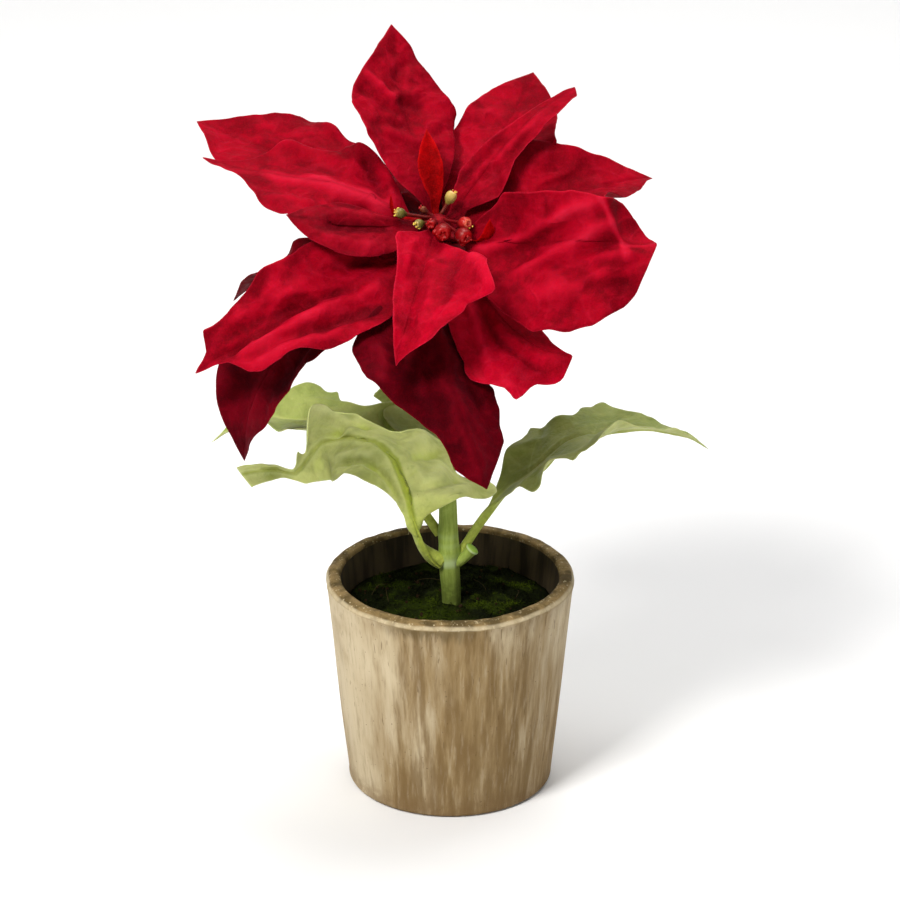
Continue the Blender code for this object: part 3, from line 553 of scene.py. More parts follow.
# Folds: the part on the far side of a line turns down (or up, less than 0) by an angle, round a radius in mm. The last two are a place on that side.
FOLDS = {
    "bract_right_broad": [(0.77, 1.0, 0.865, -0.06, 44, 1.2, 0.93, 0.9), (0.862, -0.05, 1.0, -0.14, 20, 1.0, 0.93, 0.6)],
}


class Blade:
    """The middle surface of a bract or leaf, and what its veins, creases and ruffles do to it."""

    def __init__(self, name, spec, leaf, seed, rows, cols, start, spike=None, columns=None):
        az, rise, roll, length, base, left, right, fold, curl = spec
        self.name, self.leaf, self.seed, self.length = name, leaf, seed, length
        if leaf or spike is not None:
            origin = np.array(base, float)
        else:
            a = math.radians(az[0])
            origin = HEAD + np.array([base[0] * math.cos(a), base[0] * math.sin(a), base[1]])
        over = REACH.get(name, 1.0 if spike is not None else 1.02)
        bend = np.linspace(0, 1, rows)
        t = start + (over - start) * bend
        self.t = t
        fine = np.linspace(start, over, 601)
        fa, fe = np.radians(through(az, fine)), np.radians(through(rise, fine))
        run = np.stack([np.cos(fe) * np.cos(fa), np.cos(fe) * np.sin(fa), np.sin(fe)], -1)
        path = np.zeros((601, 3))
        path[1:] = np.cumsum((run[1:] + run[:-1]) / 2 * length * (over - start) / 600, axis=0)
        path -= np.stack([np.interp(0.0, fine, path[:, k]) for k in range(3)], -1)
        mid = np.stack([np.interp(t, fine, path[:, k]) for k in range(3)], -1) + origin
        a, e, r = (np.radians(through(values, np.minimum(t, 1.0))) for values in (az, rise, roll))
        if name == "leaf_front":
            end = ease(0.86, 0.97, t)
            r = r * (1 - end) + math.radians(74) * end
            mid = mid + np.array([1.8, 0.0, 4.6]) * ease(0.86, 1.04, t)[:, None]
        ahead = np.stack([np.cos(e) * np.cos(a), np.cos(e) * np.sin(a), np.sin(e)], -1)
        flat = np.stack([-np.sin(a), np.cos(a), 0 * a], -1)
        top = np.cross(ahead, flat)
        side = np.cos(r)[:, None] * flat + np.sin(r)[:, None] * top
        up = -np.sin(r)[:, None] * flat + np.cos(r)[:, None] * top
        stalk = (2.5 if name == "leaf_front" else 1.4) if leaf else 1.0
        stations = LEAF_AT if leaf else BRACT_AT
        wl = self.width(stations, [stalk, *left, 0], t, over)
        wr = self.width(stations, [stalk, *right, 0], t, over)
        if name in OUTLINES:
            wl, wr = (self.known(w, line, t) for w, line in zip((wl, wr), OUTLINES[name]))
        for tooth_side, at, out, reach in TEETH.get(name, ()):
            d = np.clip(1 - np.abs(t - at) / reach, 0, 1)
            bump = out * d**1.7
            if tooth_side > 0:
                wl = wl + bump
            else:
                wr = wr + bump
        wander = ease(0.1, 0.25, t) * (1 - ease(0.90, 1.0, t / over)) * (0.35 if columns is None else 0.0)
        wl = wl + wander * layered(t * length / 5.0, 3.1, 0, seed + 3, 3)
        wr = wr + wander * layered(t * length / 5.0, 8.7, 0, seed + 5, 3)
        m = np.interp(t, *np.array(DRIFT[name]).T) if name in DRIFT else 0 * t
        x = np.linspace(-1, 1, cols)
        s = np.sign(x) * np.abs(x) ** 1.35 if columns is None else columns
        cols = len(s)
        self.s = s
        S = s[None, :]
        T = t[:, None]
        W = np.where(S >= 0, np.maximum(wl - m, 0.14)[:, None], np.maximum(wr + m, 0.14)[:, None])
        px, pz = np.empty(cols), np.empty(cols)
        for k, share in enumerate(s):
            h = 0 if share >= 0 else 1
            f, c = math.radians(fold[h]), math.radians(curl[h])
            c = 1e-4 if abs(c) < 1e-4 else c
            q = abs(share)
            px[k] = (math.sin(f + c * q) - math.sin(f)) / c * (1 if h == 0 else -1)
            pz[k] = (math.cos(f) - math.cos(f + c * q)) / c
        self.points = mid[:, None] + side[:, None] * (m[:, None] + px[None, :] * W)[..., None] + up[:, None] * (pz[None, :] * W)[..., None]
        self.u = T * length + 0 * S
        self.v = S * W
        self.w = W
        self.T = T + 0 * S
        self.S = S + 0 * T
        self.room = np.full(self.u.shape, 1e3)
        self.crest = 0 * self.u
        if spike is None:
            self.veins()
        else:
            self.vein = np.abs(self.v) + 0.3
            self.lift = 0.25 * layered(self.u / 2.5, self.v / 2.5, 0, seed, 2)
            self.ruffle = 0 * self.u
        self.rim = np.minimum((1 - np.abs(self.S)) * self.w, (over - self.T) * length)

    @staticmethod
    def width(stations, values, t, over):
        """Half-widths, ending in a point."""
        xs = np.array(stations[:-1] + [1.0], float)
        ys = np.array(values, float)
        w = smooth(xs, ys, np.clip(t, 0, 1))
        last, wide = xs[-2], ys[-2]
        x = np.clip((t - last) / (over - last), 0, 1)
        tip = wide * (1 - x) ** 0.95
        blend = ease(last - 0.02, last + 0.03, t)
        w = w * (1 - blend) + tip * blend
        w = np.where(t < 0, ys[0], w)
        return np.maximum(w, 0.16)

    @staticmethod
    def known(w, line, t):
        """The measured outline, its corners barely rounded, running into the general one near the stalk."""
        at, out = np.array(line).T
        fine = np.linspace(at[0], at[-1], 900)
        step = fine[1] - fine[0]
        width = np.interp(fine, at, out)
        kernel = np.exp(-((np.arange(-14, 15) * step / 0.0045) ** 2))
        padded = np.concatenate([np.full(14, width[0]), width, np.full(14, width[-1])])
        width = np.convolve(padded, kernel / kernel.sum(), "valid")
        share = ease(at[0], at[0] + 0.05, t)
        return w * (1 - share) + np.interp(t, fine, width) * share

    def veins(self):
        u, v, w, T, S, L = self.u, self.v, self.w, self.T, self.S, self.length
        seed = self.seed
        gap = L * (0.115 if self.leaf else 0.105)
        along = 0.62 if self.leaf else 0.72
        q = (u - np.abs(v) * along - v * v * 0.011) / gap
        q = q + np.where(S >= 0, 0.0, 0.5) + 0.30 * noise(u / 16, v / 16, 0, seed + 9)
        near = np.abs(q - np.round(q)) * gap * 0.8
        start = 0.24 if self.leaf else 0.02
        fade = ease(start, start + 0.06, T)
        near = near + (1 - fade) * 9
        self.vein = np.minimum(near + 0.35 + 0.7 * np.abs(S) ** 2, np.abs(v) * 0.75)
        panel = np.floor(q)
        strength = 0.55 + 0.75 * lattice(panel.astype(np.int64), (S >= 0).astype(np.int64), np.zeros_like(panel, np.int64), seed + 31)
        body = fade * (1 - ease(0.94, 1.03, T))
        size = np.clip(w / 15.0, 0.25, 1.2)
        quilt = np.abs(np.sin(math.pi * q)) * (1 - 0.5 * np.abs(S)) * ease(0.0, 0.2, np.abs(S))
        patchy = ease(-0.25, 0.45, noise(u / 19.0, v / 15.0, 0, seed + 37))
        lift = (0.75 if self.leaf else 0.55) * size * strength * quilt * patchy
        # crumples: soft hills, and sharper ridges where the sheet has been pinched
        wu, wv = u + 3.5 * noise(u / 12, v / 12, 0, seed + 42), v + 3.5 * noise(u / 12, v / 12, 3, seed + 43)
        hill = noise(wu / 15.0, wv / 12.0, 0, seed + 41)
        ridge = 0.42 - np.abs(noise(wu / 11.5, wv / 8.5, 0, seed + 45))
        small = 0.35 - np.abs(noise(wu / 5.2, wv / 4.4, 0, seed + 47))
        fine = layered(u / 2.3, v / 2.3, 0, seed + 51, 2)
        crumple = 1.05 * hill + 1.15 * ridge + 0.42 * small
        lift = lift + size * crumple + 0.10 * fine
        crease = 0 * u
        for t0, x0, t1, x1, height, half in CREASES.get(self.name, ()):
            i0, i1 = (int(np.argmin(np.abs(self.t - k))) for k in (t0, t1))
            j0, j1 = (int(np.argmin(np.abs(self.s - k))) for k in (x0, x1))
            a, b = np.array([u[i0, j0], v[i0, j0]]), np.array([u[i1, j1], v[i1, j1]])
            long = float(np.linalg.norm(b - a))
            d = (b - a) / long
            ru, rv = u - a[0], v - a[1]
            on = (ru * d[0] + rv * d[1]) / long
            off = -ru * d[1] + rv * d[0] + 1.1 * noise(u / 9.0, v / 9.0, 0, seed + 81)
            hold = ease(-0.22, 0.12, on) * (1 - ease(0.88, 1.22, on))
            crease = crease + height * np.exp(-((off / half) ** 2)) * hold
        lift = (lift + crease) * body
        lift = lift - (0.28 if self.leaf else 0.10 if self.name == "bract_right_broad" else 0.20) * np.exp(-((v / (1.1 if self.leaf else 1.5)) ** 2)) * ease(start, start + 0.1, T) * (1 - ease(0.85, 1.0, T))
        # ruffled margins
        wave = np.sin(2 * math.pi * (u / (21.0 if self.leaf else 25.0)) + np.where(S >= 0, 0.3, 2.4) + 1.7 * noise(u / 17, S * 0.4, 0, seed + 61))
        amount = (0.8 if self.name == "leaf_front" else 1.9 if self.leaf else 1.5) * np.abs(S) ** 2.4 * size * body
        self.lift = lift
        # the relief's height, which the materials turn into painted highlights on crests and painted shade in hollows
        self.crest = (0.55 * crumple + 0.8 * crease + 0.3 * fine) * body
        self.ruffle = wave * amount + 0.7 * amount * noise(u / 5.5, np.sign(S) * 3.0, 0, seed + 71)

    def turn(self, p, t0, x0, t1, x1, degrees, radius, t2, x2):
        """Turns the part of p past a line down by an angle, round a radius, and adds a painted highlight along the line
        to the crest attribute.
        """
        place = lambda a, b: (int(np.argmin(np.abs(self.t - a))), int(np.argmin(np.abs(self.s - b))))
        a, b, far = p[place(t0, x0)], p[place(t1, x1)], p[place(t2, x2)]
        n = unit(np.cross(np.gradient(self.points, axis=0), np.gradient(self.points, axis=1)))
        up = n[place((t0 + t1) / 2, (x0 + x1) / 2)]
        axis = unit(b - a)
        across = unit(np.cross(up, axis))
        if (far - a) @ across < 0:
            across = -across
        up = np.cross(axis, across)
        if up @ n[place((t0 + t1) / 2, (x0 + x1) / 2)] < 0:
            up = -up
        sign = 1 if degrees > 0 else -1
        rel = p - a
        on, d, h = rel @ axis, rel @ across, rel @ up
        long = float(np.linalg.norm(b - a))
        angle = math.radians(abs(degrees)) * (1 - ease(long - 1.5, long + 7.0, on)) * ease(-4.0, 1.0, on)
        part = np.clip(d / radius, 0, angle)
        rest = np.maximum(d - radius * angle, 0)
        d2 = np.where(d > 0, radius * np.sin(part) + rest * np.cos(part) + sign * h * np.sin(part), d)
        h2 = np.where(d > 0, -sign * (radius * (1 - np.cos(part)) + rest * np.sin(part)) + h * np.cos(part), h)
        # painted highlight: a pale line along the fold's edge, through the crest attribute
        near = np.exp(-((d / 1.0) ** 2)) * sign * (1 - ease(long - 1.0, long + 5.0, on)) * ease(-2.0, 1.0, on)
        self.crest = self.crest + 1.9 * near
        return a + on[..., None] * axis + d2[..., None] * across + h2[..., None] * up

    def surface(self):
        """Displaced middle surface and its normals."""
        p = self.points
        n = unit(np.cross(np.gradient(p, axis=0), np.gradient(p, axis=1)))
        allowed = np.clip((self.room - 0.75) / 2.6, 0.0, 1.0)
        moved = p + n * (self.lift * (0.25 + 0.75 * allowed) + self.ruffle * allowed)[..., None]
        for line in FOLDS.get(self.name, ()):
            moved = self.turn(moved, *line)
        n = unit(np.cross(np.gradient(moved, axis=0), np.gradient(moved, axis=1)))
        return moved, n

    def build(self, material, slot, node):
        p, n = self.surface()
        T, S, v = self.T, self.S, self.v
        start = 0.24 if self.leaf else 0.02
        thin = 0.21 if not self.leaf else 0.24
        round_part = 1 - (ease(0.13, 0.25, T) if self.leaf else ease(0.0, 0.10, T))
        around = np.sqrt(np.clip(1 - S * S, 0, 1))
        stalk = (2.2 if self.name == "leaf_front" else 1.3) if self.leaf else 0.75
        rib = np.exp(-((v / (1.05 if self.leaf else 0.75)) ** 2)) * (1 - ease(0.2, 1.0, T)) * (1 - 0.6 * round_part)
        branch = np.exp(-(((self.vein) / 0.42) ** 2)) * ease(start, start + 0.08, T) * (1 - ease(0.8, 1.0, T)) * (1 - np.abs(S)) ** 0.5
        rim = np.clip(self.rim / 0.6, 0.25, 1)
        half = thin * rim * (1 - round_part) + stalk * around * round_part
        top = half
        low = half + (0.95 if self.leaf else 0.6) * rib + (0.22 if self.leaf else 0.12) * branch
        upper = p + n * top[..., None]
        lower = p - n * low[..., None]
        rows, cols = T.shape
        points = np.concatenate([upper.reshape(-1, 3), lower.reshape(-1, 3)])
        m = rows * cols
        quads = [grid_quads(rows, cols), grid_quads(rows, cols, m, flip=True)]
        r = np.arange(rows - 1)
        left, right = r * cols, r * cols + cols - 1
        quads.append(np.stack([left, left + cols, left + cols + m, left + m], -1))
        quads.append(np.stack([right, right + m, right + cols + m, right + cols], -1))
        c = np.arange(cols - 1)
        end = (rows - 1) * cols
        quads.append(np.stack([c, c + m, c + 1 + m, c + 1], -1))
        quads.append(np.stack([end + c, end + c + 1, end + c + 1 + m, end + c + m], -1))
        both = lambda a: np.concatenate([a.ravel(), a.ravel()])
        attributes = {
            "vein": both(self.vein),
            "rib": both(np.abs(self.v)),
            "crest": both(self.crest),
            "rim": both(self.rim),
            "along": both(self.T),
            "face": np.concatenate([np.ones(m), np.zeros(m)]),
        }
        obj = mesh_object(self.name, points, np.concatenate(quads), (), attributes, material, slot, (node,))
        return obj


def spread(blades):
    """Sets each blade's room: how far its middle surface is from the nearest other blade's."""
    trees = []
    for b in blades:
        pts = b.points[::3, ::3].reshape(-1, 3)
        rows, cols = b.points[::3, ::3].shape[:2]
        faces = grid_quads(rows, cols).tolist()
        trees.append((BVHTree.FromPolygons(pts.tolist(), faces), pts.min(0), pts.max(0)))
    for i, b in enumerate(blades):
        coarse = b.points[::3, ::3]
        room = np.full(coarse.shape[:2], 1e3)
        low, high = coarse.reshape(-1, 3).min(0), coarse.reshape(-1, 3).max(0)
        for j, (tree, tl, th) in enumerate(trees):
            if i == j or (low - 5 > th).any() or (tl - 5 > high).any():
                continue
            for r in range(room.shape[0]):
                for c in range(room.shape[1]):
                    found = tree.find_nearest(Vector(coarse[r, c]), 5.0)
                    if found[0] is not None:
                        room[r, c] = min(room[r, c], found[3])
        room = np.minimum(room, 6.0)
        rows, cols = b.T.shape
        fr = np.linspace(0, room.shape[0] - 1, rows)
        fc = np.linspace(0, room.shape[1] - 1, cols)
        wide = np.stack([np.interp(fc, np.arange(room.shape[1]), row) for row in room])
        b.room = np.stack([np.interp(fr, np.arange(room.shape[0]), wide[:, k]) for k in range(cols)], -1)


# --------------------------------------------------------------------------- the pieces

# RED is the bracts' own colour. The next copies are painted light and shade: a lighter one for the front bracts
# (painted light), and darker ones for bracts beneath and behind others (painted shade). RED_WARM is the inner bract's
# own warmer red, with painted shade over its lower part.
RED = bract_material("bract_velvet", linear(137, 0, 19), linear(100, 0, 10), linear(170, 7, 33), linear(190, 28, 53))
RED_PAINTED_LIT = bract_material("bract_velvet_painted_lit", linear(160, 0, 26), linear(124, 0, 15), linear(188, 11, 40), linear(202, 38, 63))
RED_PAINTED_SHADE = bract_material("bract_velvet_painted_shade", linear(118, 0, 15), linear(84, 0, 8), linear(150, 6, 28), linear(172, 24, 46))
RED_PAINTED_DEEP_SHADE = bract_material("bract_velvet_painted_deep_shade", linear(80, 0, 9), linear(54, 0, 5), linear(106, 2, 17), linear(126, 12, 28))
RED_PAINTED_LOW_SHADE = bract_material("bract_velvet_painted_low_shade", linear(102, 0, 12), linear(72, 0, 6), linear(132, 3, 22), linear(152, 16, 36))
RED_WARM = bract_material("bract_velvet_inner", linear(170, 0, 5), linear(120, 0, 2), linear(206, 8, 6), linear(206, 16, 14), glow=0.2, throat_shade=0.75)
GREEN = leaf_material(
    "leaf_cloth",
    upper=linear(158, 168, 86),
    upper_dark=linear(132, 146, 64),
    under=linear(174, 178, 102),
    under_dark=linear(146, 152, 78),
    vein_under=linear(142, 154, 28),
    vein_upper=linear(182, 190, 108),
)

# which bracts take the painted lit and painted shaded copies of the red
TONES = {
    "bract_inner_upright": RED_WARM,
    "bract_front_folded": RED_PAINTED_LIT,
    "bract_left_small": RED_PAINTED_SHADE,
    "bract_front_right": RED_PAINTED_LIT,
    "bract_front_low": RED_PAINTED_DEEP_SHADE,
    "bract_left_low": RED_PAINTED_DEEP_SHADE,
    "bract_back_low": RED_PAINTED_LOW_SHADE,
    "bract_back_right_low": RED_PAINTED_LOW_SHADE,
    "bract_back_left_low": RED_PAINTED_LOW_SHADE,
}
blades = []
for k, (name, spec) in enumerate(BRACTS.items()):
    small = name == "bract_inner_upright"
    rows, cols = (60, 33) if small else (118, 63)
    blades.append(Blade(name, spec, False, 100 + 7 * k, rows, cols, -2.2 / spec[3]))
leaves = [Blade(name, spec, True, 300 + 11 * k, 170, 75, -1.6 / spec[3]) for k, (name, spec) in enumerate(LEAVES.items())]
spread(blades)
for b in blades:
    b.build(TONES.get(b.name, RED), "bract_red", b.name)
for b in leaves:
    b.build(GREEN, "leaf_green", b.name)

# Spike bractlets beside the small flowers
SPIKES = {
    "spike_bractlet_1": ([-38, -46, -74, -92], [-8, 6, 60, 80], 17.0, (4.6, -5.8, 179.6), 2.9),
    "spike_bractlet_2": ([182, 186, 200, 230], [2, 12, 66, 88], 15.6, (-7.8, -0.4, 182.2), 1.6),
}
for k, (name, (az, rise, length, base, half)) in enumerate(SPIKES.items()):
    widths = [half * s for s in (0.6, 0.9, 1.0, 0.95, 0.8, 0.6, 0.35)]
    spec = (az, rise, [0, 0], length, base, widths, widths, [14, 14], [10, 10])
    Blade(name, spec, False, 500 + k, 40, 15, -0.12, spike=True).build(RED_WARM, "bract_red", name)


# --------------------------------------------------------------------------- small flowers

CYATHIA = [
    (0.3, 1.0, 189.0, 1.7, "yellow", "yellow"),
    (-14.7, -4.0, 185.6, 1.5, "green", "green"),
    (-9.1, -6.0, 183.0, 1.4, "green", "green"),
    (-5.4, -9.2, 184.0, 1.6, "red", "pink"),
    (4.4, -9.9, 184.6, 1.9, "orange", "orange"),
    (-2.2, -13.4, 183.0, 2.6, "red", "red"),
    (3.9, -12.9, 181.7, 2.5, "red", "red"),
    (-7.8, -0.8, 185.6, 1.0, "shaded_bud", "green"),
]
TINTS = {
    "yellow": (linear(184, 158, 82), linear(132, 118, 48), linear(222, 186, 120)),
    "green": (linear(104, 98, 40), linear(66, 66, 24), linear(172, 152, 88)),
    "orange": (linear(166, 18, 20), linear(124, 3, 12), linear(206, 92, 70)),
    "red": (linear(122, 0, 7), linear(62, 0, 4), linear(158, 8, 14)),
    # painted shade: the small bud at the back is tinted dark to sit in a shaded hollow
    "shaded_bud": (linear(96, 40, 24), linear(70, 18, 14), linear(140, 84, 48)),
}


def cup_material(name, main, deep, tip):
    n = Nodes(name)
    p = n.where()
    tone = n.attribute("tone")
    mottle = n.noise(p, 1.6, 3, 0.6)
    grain = n.noise(p, 6.5, 2, 0.5)
    colour = n.mix(n.ramp(tone, 0.25, 0.75), deep, main)
    colour = n.mix(n.math("MULTIPLY", n.ramp(mottle, 0.5, 0.75), 0.4), colour, tip)
    colour = n.mix(n.ramp(tone, 0.02, 0.2, 0.95, 0.0), colour, linear(98, 2, 10))
    colour = n.mix(n.ramp(tone, 0.88, 1.0), colour, tip)
    colour = n.mix(n.ramp(tone, 1.4, 1.6), colour, linear(232, 196, 84))
    colour = n.mix(n.ramp(tone, 2.4, 2.6), colour, linear(170, 26, 30))
    return n.set(
        Base_Color=colour,
        Roughness=n.ramp(grain, 0.3, 0.7, 0.30, 0.44),
        Normal=n.bump(n.math("ADD", mottle, n.math("MULTIPLY", grain, 0.4)), 0.45, 0.2),
        Specular_IOR_Level=0.34,
        Specular_Tint=(1.0, 0.62, 0.55, 1.0),
        Subsurface_Weight=0.15,
        Subsurface_Radius=(1.0, 0.5, 0.2),
        Subsurface_Scale=0.0008,
        Coat_Weight=0.08,
        Coat_Roughness=0.2,
    )


def ball(centre, r, around=10, rings=7):
    q = np.linspace(0, math.pi, rings + 2)[1:-1]
    a = np.arange(around) * 2 * math.pi / around
    pts = np.stack([np.sin(q)[:, None] * np.cos(a), np.sin(q)[:, None] * np.sin(a), np.cos(q)[:, None] + 0 * a], -1).reshape(-1, 3)
    points = np.concatenate([pts, [[0, 0, 1], [0, 0, -1]]]) * r + np.asarray(centre)
    quads = grid_quads(rings, around, closed=True, flip=True)
    k = np.arange(around)
    kn = (k + 1) % around
    n = rings * around
    top = np.stack([np.full(around, n), k, kn], -1)
    low = np.stack([np.full(around, n + 1), (rings - 1) * around + kn, (rings - 1) * around + k], -1)
    return points, quads, np.concatenate([top, low])


for index, (x, y, z, r, tint, slot) in enumerate(CYATHIA, 1):
    rng = np.random.RandomState(900 + index)
    top = HEAD + np.array([0.0, 0.0, 3.0])
    cup = np.array([x, y, z])
    ahead = unit(cup - top)
    reach = float(np.linalg.norm(cup - top))
    across = unit(np.cross(ahead, [0.0, 0.0, 1.0]))
    other = np.cross(ahead, across)
    piece = Gather()
    # stalk and cup, turned about the line from the stem's top
    along = np.array([0.0, reach * 0.35, reach - 1.7 * r, reach - 1.45 * r, reach - 1.2 * r, reach - 0.95 * r, reach - 0.6 * r, reach - 0.2 * r, reach + 0.2 * r, reach + 0.5 * r, reach + 0.72 * r, reach + 0.84 * r, reach + 0.80 * r, reach + 0.66 * r])
    radii = np.array([0.55, 0.48, 0.50, 0.58, 0.72, 0.98, 1.0, 1.0, 1.0, 1.0, 1.0, 1.0, 1.0, 1.0])
    radii[5:] = np.array([0.70, 0.90, 1.0, 0.97, 0.86, 0.70, 0.52, 0.36, 0.30]) * r
    sides = 20
    q = np.arange(sides) * 2 * math.pi / sides
    lobes = 0.035 * r * np.cos(5 * q)[None, :] * ease(0.2, 0.9, np.linspace(0, 1, len(along)))[:, None]
    lobes = lobes + 0.03 * r * rng.uniform(-1, 1, (len(along), sides)) * ease(4, 6, np.arange(len(along)))[:, None]
    sag = np.sin(np.clip(along / reach, 0, 1) * math.pi)[:, None] * np.array([0, 0, -0.25])
    path = top + along[:, None] * ahead + sag
    ring = path[:, None] + (radii[:, None] + lobes)[..., None] * (np.cos(q)[None, :, None] * across + np.sin(q)[None, :, None] * other)
    pts = np.concatenate([ring.reshape(-1, 3), path[:1], path[-1:]])
    n = len(along)
    k = np.arange(sides)
    kn = (k + 1) % sides
    tris = np.concatenate([
        np.stack([np.full(sides, n * sides), k, kn], -1),
        np.stack([np.full(sides, n * sides + 1), (n - 1) * sides + kn, (n - 1) * sides + k], -1),
    ])
    level = np.clip((along - (reach - 1.6 * r)) / (2.4 * r), 0, 1)
    tone = np.concatenate([np.repeat(level, sides), [0.0, 1.0]])
    piece.add(pts, grid_quads(n, sides, closed=True, flip=True), tris, tone)
    # stamens: short threads with a bead each, from the cup's mouth
    warm = tint in ("yellow", "green")
    for _ in range(7 if tint == "yellow" else 5 if tint != "red" else 4):
        a = rng.uniform(0, 2 * math.pi)
        off = rng.uniform(0.05, 0.34) * r
        lean = (math.cos(a) * across + math.sin(a) * other)
        foot = top + ahead * (reach + 0.6 * r) + lean * off
        tip = top + ahead * (reach + rng.uniform(0.95, 1.25) * r) + lean * (off + rng.uniform(0.1, 0.5) * r)
        p, qd, tr = rod(np.linspace(foot, tip, 4), 0.11, 6)
        piece.add(p, qd, tr, 2.0 if warm else 3.0)
        piece.add(*ball(tip, rng.uniform(0.2, 0.28), 8, 5), mark=2.0 if warm and rng.rand() < 0.7 or tint == "orange" and rng.rand() < 0.4 else 3.0)
    # the honey gland: a small lip on one side
    a = rng.uniform(0, 2 * math.pi)
    lean = math.cos(a) * across + math.sin(a) * other
    piece.add(*ball(top + ahead * (reach + 0.25 * r) + lean * 0.86 * r, 0.34 * r, 10, 7), mark=2.0 if warm else 0.95)
    piece.build(
        f"cyathium_{index}",
        material=cup_material(f"cup_{index}", *TINTS[tint]),
        slot=f"cyathium_{slot}",
        nodes=(f"cyathium_{index}",),
    )


# --------------------------------------------------------------------------- stem

STEM = [
    (1.2, -3.6, 23, 3.1),
    (0.9, -3.6, 45, 3.0),
    (0.4, -3.5, 62, 2.9),
    (-0.2, -3.3, 73, 3.1),
    (-0.6, -3.0, 90, 2.7),
    (-1.2, -2.5, 115, 2.5),
    (-2.4, -1.7, 145, 2.4),
    (-3.3, -1.1, 160, 2.6),
    (-3.5, -1.0, 166, 3.3),
    (-3.5, -1.0, 172, 3.9),
    (-3.5, -1.1, 177, 4.4),
    (-3.4, -1.3, 180.2, 4.5),
    (-3.4, -1.4, 182.2, 3.7),
    (-3.4, -1.4, 183.6, 2.2),
    (-3.4, -1.4, 184.3, 0.9),
]
STUB = [(0.2, -3.4, 71.6, 1.7), (2.4, -3.8, 73.2, 1.75), (4.4, -4.2, 74.9, 1.65), (6.0, -4.5, 76.8, 1.8), (7.1, -4.6, 78.2, 2.0)]


def stem_material():
    n = Nodes("stem_skin")
    p = n.where()
    streak = n.noise(n.where((1.0, 1.0, 0.10)), 1.3, 3, 0.6)
    mottle = n.noise(p, 0.5, 3, 0.6)
    fine = n.noise(p, 4.5, 2, 0.5)
    colour = n.mix(n.ramp(streak, 0.30, 0.70), linear(132, 150, 64), linear(152, 170, 80))
    colour = n.mix(n.math("MULTIPLY", n.ramp(mottle, 0.5, 0.75), 0.45), colour, linear(170, 186, 98))
    colour = n.mix(n.math("MULTIPLY", n.ramp(mottle, 0.2, 0.42, 1.0, 0.0), 0.3), colour, linear(96, 114, 44))
    scar = n.attribute("tone")
    # darker towards the moss: partly a moss stain, partly painted shade where the stem goes down into the mat
    foot = n.math("MULTIPLY", n.ramp(n.axis(p, "Z"), 62, 74, 1.0, 0.0), n.ramp(mottle, 0.25, 0.55, 0.55, 1.0))
    colour = n.mix(n.math("MULTIPLY", foot, 0.8), colour, linear(70, 80, 32))
    colour = n.mix(n.ramp(scar, 0.1, 0.8), colour, linear(178, 196, 136))
    # the cut end of the stub, and the dark red head the bracts spring from
    colour = n.mix(n.ramp(scar, 1.4, 1.9), colour, linear(134, 168, 62))
    head = n.ramp(n.axis(p, "Z"), 160, 170)
    colour = n.mix(head, colour, n.mix(n.ramp(mottle, 0.35, 0.7), linear(84, 0, 10), linear(140, 4, 18)))
    height = n.math("ADD", n.math("MULTIPLY", streak, 0.22), n.math("MULTIPLY", fine, 0.3))
    return n.set(
        Base_Color=colour,
        Roughness=n.ramp(fine, 0.3, 0.7, 0.5, 0.68),
        Normal=n.bump(height, 0.5, 0.3),
        Specular_IOR_Level=0.07,
        Subsurface_Weight=0.06,
        Subsurface_Radius=(0.5, 1.0, 0.2),
        Subsurface_Scale=0.001,
    )


def fine_path(points, step):
    points = np.array(points, float)
    length = np.concatenate([[0], np.cumsum(np.linalg.norm(np.diff(points[:, :3], axis=0), axis=1))])
    at = np.linspace(0, length[-1], int(length[-1] / step))
    return np.stack([smooth(length, points[:, k], at) for k in range(4)], -1)


